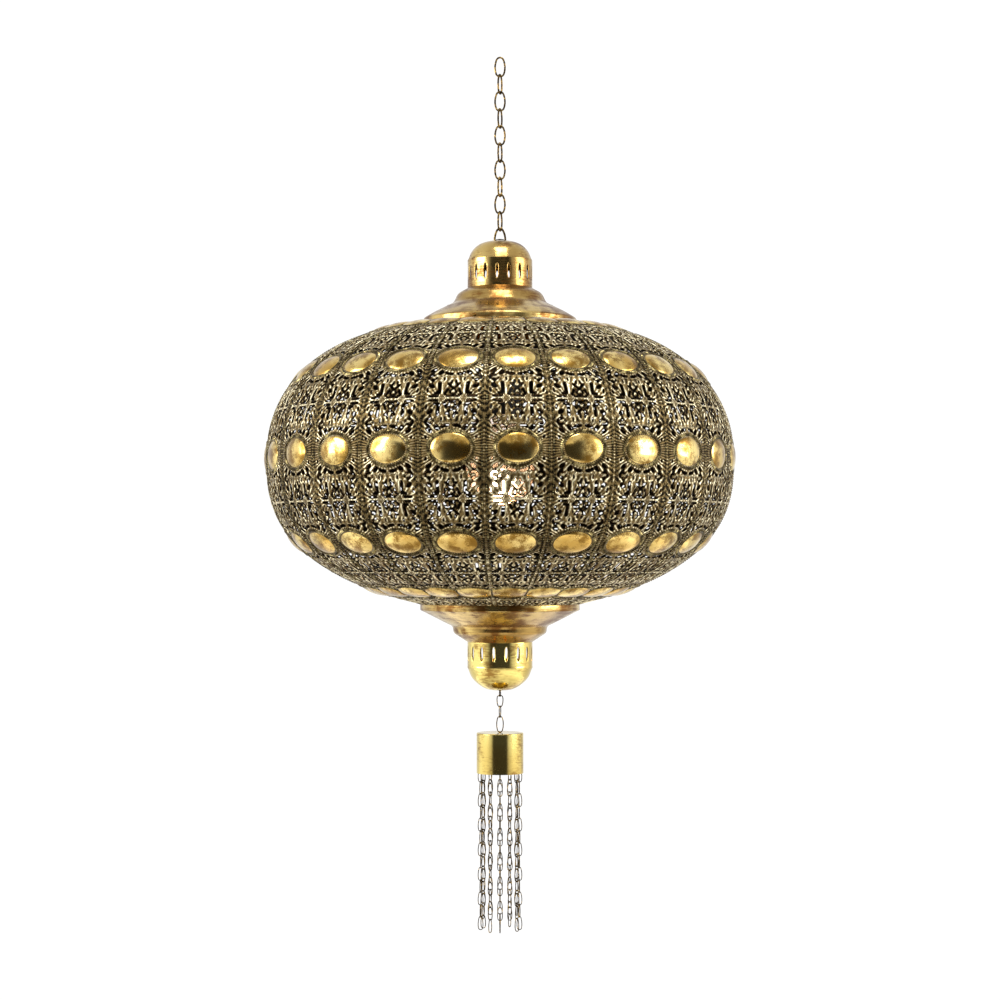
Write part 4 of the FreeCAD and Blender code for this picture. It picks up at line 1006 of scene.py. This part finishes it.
@dataclass
class SpunPiece:
    """A spun or turned shell.

    Attributes:
        node: The CAD node it stands for.
        outline: (radius, height from the middle, corner) from the top inwards edge down the outside.
        wall: Sheet thickness.
        finish: The finish's name.
        body: The body it rides on.
        slot: The record's material slot; not used.
        slots: Number of upright slots round it.
        slot_middle: Their middle height.
        slot_half: Half their width and half their height.
        segments: Spans round it.
    """

    node: str
    outline: Sequence[Tuple[float, ...]]
    wall: float
    finish: str = "spun"
    body: str = "lantern"
    slot: str = "spun_brass"
    slots: int = 0
    slot_middle: float = 0.0
    slot_half: Tuple[float, float] = (1.1, 6.0)
    segments: int = 120

    def build(self, middle: float, palette: Palette) -> bpy.types.Object:
        """Turns the outline into a closed shell.

        Args:
            middle: The height that the outline is measured from.
            palette: Where finishes come from.

        Returns:
            The finished piece.
        """
        line = rounded(self.outline)
        if self.slots:
            thing = self.slotted(line, middle)
        else:
            thing = self.plain(line, middle)
        thing.data.materials.append(palette.get(self.finish))
        if self.node in frame["nodes"]:
            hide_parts(self.node)
        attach(thing, self.body)
        return thing

    def plain(self, line: Array, middle: float) -> bpy.types.Object:
        """A shell with no slots: the outline outside, its offset inside."""
        along = np.gradient(line, axis=0)
        along /= np.linalg.norm(along, axis=1)[:, None] + 1e-9
        inwards = np.stack([along[:, 1], -along[:, 0]], -1) * self.wall
        inner = line + inwards
        inner[:, 0] = np.maximum(inner[:, 0], 0.02)
        loop = np.concatenate([line, inner[::-1]])
        count = self.segments
        turn = np.linspace(0, 2 * math.pi, count, endpoint=False)
        points = np.concatenate(
            [np.stack([r * np.cos(turn), r * np.sin(turn), np.full(count, z + middle)], -1) for r, z in loop]
        )
        faces = []
        for k in range(len(loop)):
            here, there = k * count, ((k + 1) % len(loop)) * count
            for n in range(count):
                m = (n + 1) % count
                faces.append((here + n, there + n, there + m, here + m))
        thing = mesh_object(f"{self.node}_spun", points, faces)
        thing.data.set_sharp_from_angle(angle=math.radians(38))
        return thing

    def slotted(self, line: Array, middle: float) -> bpy.types.Object:
        """A collar with upright slots cut through it."""
        lengths = np.concatenate([[0], np.cumsum(np.linalg.norm(np.diff(line, axis=0), axis=1))])
        total = lengths[-1]
        rows = int(total / 0.55)
        columns = self.slots * 18
        radius = float(line[:, 0].max())
        around = 2 * math.pi * radius
        s = np.linspace(0, total, rows + 1)
        x = np.linspace(0, around, columns + 1)
        along = np.repeat(s[::-1][:, None], columns + 1, axis=1)
        across = np.repeat(x[None, :], rows + 1, axis=0)
        pitch = around / self.slots

        def cut(u: Array, v: Array) -> Array:
            """Distance to the nearest slot."""
            folded = np.abs((u % pitch) - pitch / 2)
            height = np.interp(v, lengths, line[:, 1])
            return oval(folded, height, (0.0, self.slot_middle), self.slot_half)

        def place(u: Array, v: Array, lift: Array) -> Array:
            """Puts a place on the collar."""
            turn = u / radius
            r = np.interp(v, lengths, line[:, 0]) + lift
            z = np.interp(v, lengths, line[:, 1]) + middle
            return np.stack([r * np.cos(turn), r * np.sin(turn), z], -1)

        def flat(u: Array, v: Array, d: Array) -> Array:
            """The collar's face has no relief but a soft edge at each slot."""
            return -0.12 * np.exp(-np.maximum(d, 0) / 0.5)

        points, faces, smooth, _ = pierced_grid(across, along, cut, place, flat, self.wall)
        thing = mesh_object(f"{self.node}_pierced", points, faces, smooth)
        merge(thing)
        return thing


def merge(thing: bpy.types.Object) -> None:
    """Welds doubled points, where a ring's two ends meet."""
    work = bmesh.new()
    work.from_mesh(thing.data)
    bmesh.ops.remove_doubles(work, verts=work.verts, dist=0.02 * MM)
    inner = [f for f in work.faces if all(len(e.link_faces) > 2 for e in f.edges)]
    bmesh.ops.delete(work, geom=inner, context="FACES")
    work.to_mesh(thing.data)
    work.free()


# ---------------------------------------------------------------- chains


@dataclass
class Links:
    """Wire links on an oval path of four arcs.

    Attributes:
        length: Outside length.
        width: Outside width.
        end: Radius of the path's ends.
        wire: Wire diameter.
        steps: Spans along each arc.
        sides: Sides of the wire.
        taper: How much narrower the upper end is, as a share.
    """

    length: float
    width: float
    end: float
    wire: float
    steps: int = 8
    sides: int = 10
    taper: float = 0.0

    def path(self, name: str, top: float = 0.0) -> bpy.types.Object:
        """Makes the closed path, upright in the XZ plane.

        Args:
            name: The object's name.
            top: Height of the upper wire's centre.

        Returns:
            An object that holds the path as edges.
        """
        half_long, half_wide = (self.length - self.wire) / 2, (self.width - self.wire) / 2
        centre = half_long - self.end
        side = (centre**2 + half_wide**2 - self.end**2) / (2 * (half_wide - self.end))
        angle = math.atan2(centre, side - half_wide)
        reach = side - half_wide
        spans = [(-reach, 0.0, side, -angle, angle), (0.0, centre, self.end, angle, math.pi - angle)]
        spans += [(reach, 0.0, side, math.pi - angle, math.pi + angle)]
        spans += [(0.0, -centre, self.end, math.pi + angle, 2 * math.pi - angle)]
        points = []
        for across, up, radius, first, last in spans:
            for t in np.linspace(first, last, self.steps, endpoint=False):
                x, z = across + radius * math.cos(t), up + radius * math.sin(t)
                x *= 1 - self.taper * (z / half_long) * 0.5
                points.append((x, 0.0, z - half_long + top))
        count = len(points)
        return mesh_object(name, np.array(points), [], None, [(n, (n + 1) % count) for n in range(count)])


@dataclass
class Chains:
    """Every chain of the lantern: the main chain, the small one and the tassel's strands.

    Attributes:
        main: The main chain's link.
        small: The lower chain's link.
        fine: A strand's link.
        main_links: Links of the main chain.
        main_turn: Turn of every other main link, in degrees.
        small_turn: Turn of the second lower link, in degrees.
        fine_pitch: Distance between strand links.
        fine_turn: Turn of every other strand link.
        strands: Strands round the tassel.
        strand_links: Links of a long strand.
        ring: Radius of the ring that the strands hang from.
    """

    main: Links = field(default_factory=lambda: Links(18.3, 10.2, 3.4, 1.6, 9, 12, 0.12))
    small: Links = field(default_factory=lambda: Links(11.0, 6.0, 2.2, 0.9, 8, 10, -0.35))
    fine: Links = field(default_factory=lambda: Links(12.3, 5.0, 1.6, 0.8, 4, 6, 0.35))
    main_links: int = 10
    main_turn: float = 68.0
    small_turn: float = 75.0
    fine_pitch: float = 10.6
    fine_turn: float = 82.0
    strands: int = 12
    strand_links: int = 13
    ring: float = 16.8

    def hang(
        self, recipe: Recipe, thing: bpy.types.Object, link: Links, metal: bpy.types.Material, **values
    ) -> None:
        """Sweeps and hangs links on an object that holds a path.

        Args:
            recipe: The tree that does it.
            thing: The object with the path.
            link: The link's sizes.
            metal: The finish.
            values: Inputs that differ from a single link's.
        """
        given = {
            "Wire radius": link.wire / 2 * MM,
            "Wire sides": link.sides,
            "Count": 1,
            "Pitch": 0.0,
            "Turn": 0.0,
            "First turn": 0.0,
            "Start": (0.0, 0.0, 0.0),
            "Wander": 0.0,
            "Seed": 1,
            "Metal": metal,
        }
        given.update(values)
        recipe.bake(thing, given)

    def build(self, palette: Palette) -> List[bpy.types.Object]:
        """Builds all the links.

        Args:
            palette: Where finishes come from.

        Returns:
            The finished pieces.
        """
        recipe = links_recipe()
        pieces = []
        jobs = [
            (f"chain_link_{n:02d}", f"link_{n:02d}", self.main, 0.0 if n % 2 else self.main_turn)
            for n in range(1, self.main_links + 1)
        ]
        jobs.append(("lower_link_01", "lower_01", self.small, 0.0))
        jobs.append(("lower_link_02", "lower_02", self.small, self.small_turn))
        for node, body, link, turn in jobs:
            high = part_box(node)[1]
            thing = link.path(f"{node}_wire", high.z / MM - link.wire / 2)
            main = link is self.main
            metal = palette.get("chain" if main else "fine_chain")
            self.hang(recipe, thing, link, metal, **{"First turn": math.radians(turn)})
            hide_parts(node)
            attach(thing, body)
            pieces.append(thing)
        for n in range(self.strands):
            node = f"strand_{n + 1:02d}"
            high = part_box(node)[1]
            count = self.strand_links - (1 if n % 3 == 1 else 0)
            angle = 2 * math.pi / self.strands * n
            thing = self.fine.path(f"{node}_links")
            start = (
                self.ring * math.cos(angle) * MM,
                self.ring * math.sin(angle) * MM,
                high.z - self.fine.wire / 2 * MM,
            )
            values = {
                "Count": count,
                "Pitch": self.fine_pitch * MM,
                "Turn": math.radians(self.fine_turn),
                "First turn": angle,
                "Start": start,
                "Wander": math.radians(12),
                "Seed": n + 3,
            }
            self.hang(recipe, thing, self.fine, palette.get("fine_chain"), **values)
            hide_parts(node)
            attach(thing, node)
            pieces.append(thing)
        return pieces


# ---------------------------------------------------------------- fittings and room


SPUN = (
    SpunPiece(
        "vent_dome",
        [(0.8, 190.2), (9.0, 189.6, 4), (18.5, 187.0, 6), (25.0, 180.5, 5), (27.6, 173.4), (28.0, 173.2)],
        0.6,
    ),
    SpunPiece(
        "vent_collar",
        [(27.9, 173.3), (28.2, 172.6), (28.2, 149.0), (28.0, 146.2)],
        0.6,
        slots=17,
        slot_middle=161.0,
        slot_half=(1.15, 6.4),
    ),
    SpunPiece(
        "bell",
        [(27.6, 148.9), (29.5, 147.6, 1), (36.8, 143.6, 3), (39.6, 137.3, 2), (41.5, 135.0, 1)]
        + [(57.0, 127.3, 2), (66.6, 121.6, 1.5), (66.9, 116.6)],
        0.6,
    ),
    SpunPiece(
        "bottom_dish",
        [(68.6, -125.1), (69.1, -126.1, 0.6), (69.1, -131.2, 0.8), (66.0, -132.6, 1), (47.0, -142.4, 2)]
        + [(41.0, -145.2, 2), (40.2, -151.0, 2), (33.0, -155.6, 2), (28.2, -158.8, 1), (27.0, -159.8)],
        0.6,
    ),
    SpunPiece(
        "lower_collar",
        [(27.6, -157.2), (28.2, -158.8), (28.2, -179.8), (28.5, -180.6, 0.3), (27.9, -181.0)],
        0.6,
        "cup",
        slots=16,
        slot_middle=-168.6,
        slot_half=(1.2, 6.2),
    ),
    SpunPiece(
        "lower_dome",
        [(27.9, -180.4), (28.4, -181.0, 0.4), (27.6, -182.4, 1), (24.4, -191.0, 7)]
        + [(13.0, -200.0, 8), (2.0, -200.9)],
        0.6,
        "cup",
    ),
)

CARRIED = {
    "plain_brass": ("crown_washer", "stem_nut_upper", "stem_nut_lower", "stem_tube", "eye_nut", "rim_screws"),
    "spun": ("top_hoop", "bottom_hoop"),
    "chain": ("bail", "bottom_eye", "cup_eye"),
    "fine_chain": ("strand_ring",),
    "steel": ("bridge_bar", "thread_shell", "contact_spring"),
    "plastic": ("cord_bush", "holder_cap", "holder_skirt"),
    "ceramic": ("holder_base",),
    "glass": ("lamp_glass",),
    "cup": ("lamp_cap",),
}


@dataclass
class Fittings:
    """The spun caps, the tassel's cup and every piece that keeps its CAD shape."""

    equator: float

    def build(self, palette: Palette) -> List[bpy.types.Object]:
        """Builds the spun pieces and dresses the carried ones.

        Args:
            palette: Where finishes come from.

        Returns:
            The new pieces.
        """
        pieces = [piece.build(self.equator, palette) for piece in SPUN]
        pieces.append(self.cup(palette))
        pieces.append(self.core(palette))
        for finish, nodes in CARRIED.items():
            for node in nodes:
                slots = frame["nodes"][node].data.materials
                slots.clear()
                slots.append(palette.get(finish))
        return pieces

    def cup(self, palette: Palette) -> bpy.types.Object:
        """The tassel's straight-sided cup, open underneath."""
        low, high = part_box("tassel_cup")
        top, rim = high.z / MM, low.z / MM
        radius = (high.x - low.x) / 2 / MM
        line = [(0.9, top), (radius - 0.6, top, 0.3), (radius, top - 0.5, 0.3)]
        line += [(radius, rim + 0.4), (radius, rim)]
        cup = SpunPiece("tassel_cup", line, 0.5, "cup", "cup", "cup_brass", segments=96)
        return cup.build(0.0, palette)

    def core(self, palette: Palette) -> bpy.types.Object:
        """The bright frosted globe inside the lamp's glass."""
        low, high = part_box("lamp_glass")
        radius = (high.x - low.x) / 2 / MM * 0.5
        middle = low.z / MM + radius + 2.0
        turn = np.linspace(-math.pi / 2, math.pi / 2, 17)
        line = [(radius * math.cos(t) + 0.02, middle + radius * math.sin(t)) for t in turn[::-1]]
        globe = SpunPiece("lamp_core", line, 0.4, "core", "lantern", "lamp_glass", segments=48)
        return globe.build(0.0, palette)


@dataclass
class Studio:
    """Floor, lights and camera.

    Attributes:
        distance: Camera's distance from the axis.
        eye: Camera's height below the lantern's middle.
        lens: Focal length on a 36 mm sensor.
        tilt: How far up the camera looks, in radians.
        floor: Height of the floor.
        spread: Half the floor's width.
        dark: Half width, half height and middle height of the room's unlit side, as directions.
        window: Middle and half width of the bright window in it, as directions.
    """

    equator: float
    distance: float = 1886.0
    eye: float = 83.0
    lens: float = 78.2
    tilt: float = 0.025
    floor: float = -1500.0
    spread: float = 1600.0
    dark: Tuple[float, float, float] = (0.62, 0.56, -0.18)
    window: Tuple[float, float] = (0.075, 0.24)

    def build(self) -> None:
        """Sets up the room."""
        self.camera()
        self.ground()
        self.sky()
        self.lamps()
        bpy.context.scene.view_settings.view_transform = "Standard"

    def camera(self) -> None:
        """Puts the camera at eye level a little below the lantern's middle."""
        data = bpy.data.cameras.new("camera")
        data.lens = self.lens
        data.sensor_width = 36.0
        camera = bpy.data.objects.new("camera", data)
        camera.location = (0.0, -self.distance * MM, (self.equator - self.eye) * MM)
        camera.rotation_euler = (math.pi / 2 + self.tilt, 0.0, 0.0)
        bpy.context.scene.collection.objects.link(camera)
        bpy.context.scene.camera = camera

    def ground(self) -> None:
        """Lays a pale floor that glows more away from the lantern: a painted shadow under it, fading into the
        white all round.
        """
        size = self.spread
        turn = np.linspace(0, 2 * math.pi, 96, endpoint=False)
        edge = np.stack([size * np.cos(turn), size * np.sin(turn), np.full(len(turn), self.floor)], -1)
        floor = mesh_object("floor", edge, [tuple(range(len(turn)))])
        paint = Plain("painted_floor_pale", "#D6D1C8", "#D0CBC2", 0.8).make()
        tree = paint.node_tree
        shader = next(node for node in tree.nodes if node.type == "BSDF_PRINCIPLED")
        # the floor's own glow grows away from the lantern: a painted shadow under the lantern, fading into the
        # white all round
        place = add(tree, "ShaderNodeTexCoord").outputs["Object"]
        reach = add(tree, "ShaderNodeVectorMath", {0: place}, operation="LENGTH").outputs["Value"]
        near, far = math.hypot(self.floor, size * 0.25) * MM, math.hypot(self.floor, size * 0.85) * MM
        light = add(
            tree,
            "ShaderNodeMapRange",
            {0: reach, 1: near, 2: far, 3: 0.0, 4: 0.75},
            interpolation_type="SMOOTHSTEP",
        ).outputs[0]
        shader.inputs["Emission Color"].default_value = linear("#FFFFFF")
        tree.links.new(light, shader.inputs["Emission Strength"])
        floor.data.materials.append(paint)

    def sky(self) -> None:
        """Makes the surroundings: white all round, with a darker side towards the room's open end."""
        world = bpy.data.worlds.new("studio")
        bpy.context.scene.world = world
        world.use_nodes = True
        tree = world.node_tree
        tree.nodes.clear()
        way = add(tree, "ShaderNodeTexCoord").outputs["Generated"]
        axes = add(tree, "ShaderNodeSeparateXYZ", {0: way}).outputs
        ease = {"interpolation_type": "SMOOTHSTEP"}
        wide = add(tree, "ShaderNodeMath", {0: axes[0]}, operation="ABSOLUTE").outputs[0]
        lifted = add(tree, "ShaderNodeMath", {0: axes[2], 1: self.dark[2]}, operation="SUBTRACT").outputs[0]
        tall = add(tree, "ShaderNodeMath", {0: lifted}, operation="ABSOLUTE").outputs[0]
        across = add(tree, "ShaderNodeMath", {0: wide, 1: self.dark[0]}, operation="DIVIDE").outputs[0]
        up = add(tree, "ShaderNodeMath", {0: tall, 1: self.dark[1]}, operation="DIVIDE").outputs[0]
        reach = add(tree, "ShaderNodeMath", {0: across, 1: up}, operation="MAXIMUM").outputs[0]
        inside = add(tree, "ShaderNodeMapRange", {0: reach, 1: 1.2, 2: 0.85}, **ease).outputs[0]
        front = add(tree, "ShaderNodeMapRange", {0: axes[1], 1: -0.2, 2: -0.45}, **ease).outputs[0]
        shade = add(tree, "ShaderNodeMath", {0: inside, 1: front}, operation="MULTIPLY").outputs[0]
        off = add(tree, "ShaderNodeMath", {0: axes[0], 1: self.window[0]}, operation="SUBTRACT").outputs[0]
        near = add(tree, "ShaderNodeMath", {0: off}, operation="ABSOLUTE").outputs[0]
        beside = add(
            tree, "ShaderNodeMapRange", {0: near, 1: self.window[1] + 0.05, 2: self.window[1]}, **ease
        ).outputs[0]
        above = add(tree, "ShaderNodeMapRange", {0: axes[2], 1: 0.22, 2: 0.34}, **ease).outputs[0]
        pane = add(tree, "ShaderNodeMath", {0: beside, 1: above}, operation="MULTIPLY").outputs[0]
        room = add(tree, "ShaderNodeMix", {0: shade, 2: 0.95, 3: 0.06}, data_type="FLOAT").outputs[0]
        lit = add(tree, "ShaderNodeMath", {0: pane, 1: shade}, operation="MULTIPLY").outputs[0]
        sides = add(
            tree, "ShaderNodeMapRange", {0: wide, 1: 0.7, 2: 0.98, 3: 0.0, 4: 0.55}, **ease
        ).outputs[0]
        base = add(tree, "ShaderNodeMath", {0: room, 1: sides}, operation="ADD").outputs[0]
        tone = add(tree, "ShaderNodeMath", {0: lit, 1: 1.3, 2: base}, operation="MULTIPLY_ADD").outputs[0]
        seen = add(tree, "ShaderNodeLightPath").outputs["Is Camera Ray"]
        strength = add(tree, "ShaderNodeMix", {0: seen, 2: tone, 3: 1.05}, data_type="FLOAT").outputs[0]
        light = add(tree, "ShaderNodeBackground", {0: linear("#FFFFFF"), 1: strength}).outputs[0]
        add(tree, "ShaderNodeOutputWorld", {0: light})

    def lamps(self) -> None:
        """Hangs soft panels left, right and overhead, and a warm light in the lantern."""
        middle = self.equator * MM
        panels = (
            ("left_panel", (-1.6, -0.5, middle + 0.5), 1.1, 26.0),
            ("right_panel", (1.7, -0.4, middle + 0.3), 1.0, 20.0),
            ("top_panel", (0.1, -0.7, middle + 1.6), 0.9, 24.0),
        )
        for name, place, size, power in panels:
            data = bpy.data.lights.new(name, "AREA")
            data.size = size
            data.energy = power
            lamp = bpy.data.objects.new(name, data)
            lamp.location = place
            aim = Vector((0.0, 0.0, middle)) - Vector(place)
            lamp.rotation_euler = aim.to_track_quat("-Z", "Y").to_euler()
            bpy.context.scene.collection.objects.link(lamp)
        glow = bpy.data.lights.new("lamp_light", "POINT")
        glow.energy = 1.0
        glow.color = linear("#FFC890")[:3]
        glow.shadow_soft_size = 0.03
        thing = bpy.data.objects.new("lamp_light", glow)
        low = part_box("lamp_glass")[0]
        thing.location = (0.0, 0.0, low.z - 0.012)
        bpy.context.scene.collection.objects.link(thing)


def triangles(thing: bpy.types.Object) -> int:
    """Counts a mesh's triangles."""
    return sum(len(p.vertices) - 2 for p in thing.data.polygons)


def main() -> None:
    """Builds the lantern's looks around the frame and reports each piece."""
    logging.basicConfig(level=logging.INFO, format="%(message)s")
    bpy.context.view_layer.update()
    palette = Palette()
    shade = Shade()
    pieces = shade.build(palette)
    pieces += Fittings(shade.equator).build(palette)
    pieces += Chains().build(palette)
    Studio(shade.equator).build()
    for piece in pieces:
        LOG.info("%s: %d triangles", piece.name, triangles(piece))
    LOG.info("all: %d triangles", sum(triangles(piece) for piece in pieces))
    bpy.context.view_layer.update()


if __name__ == "__main__":
    main()
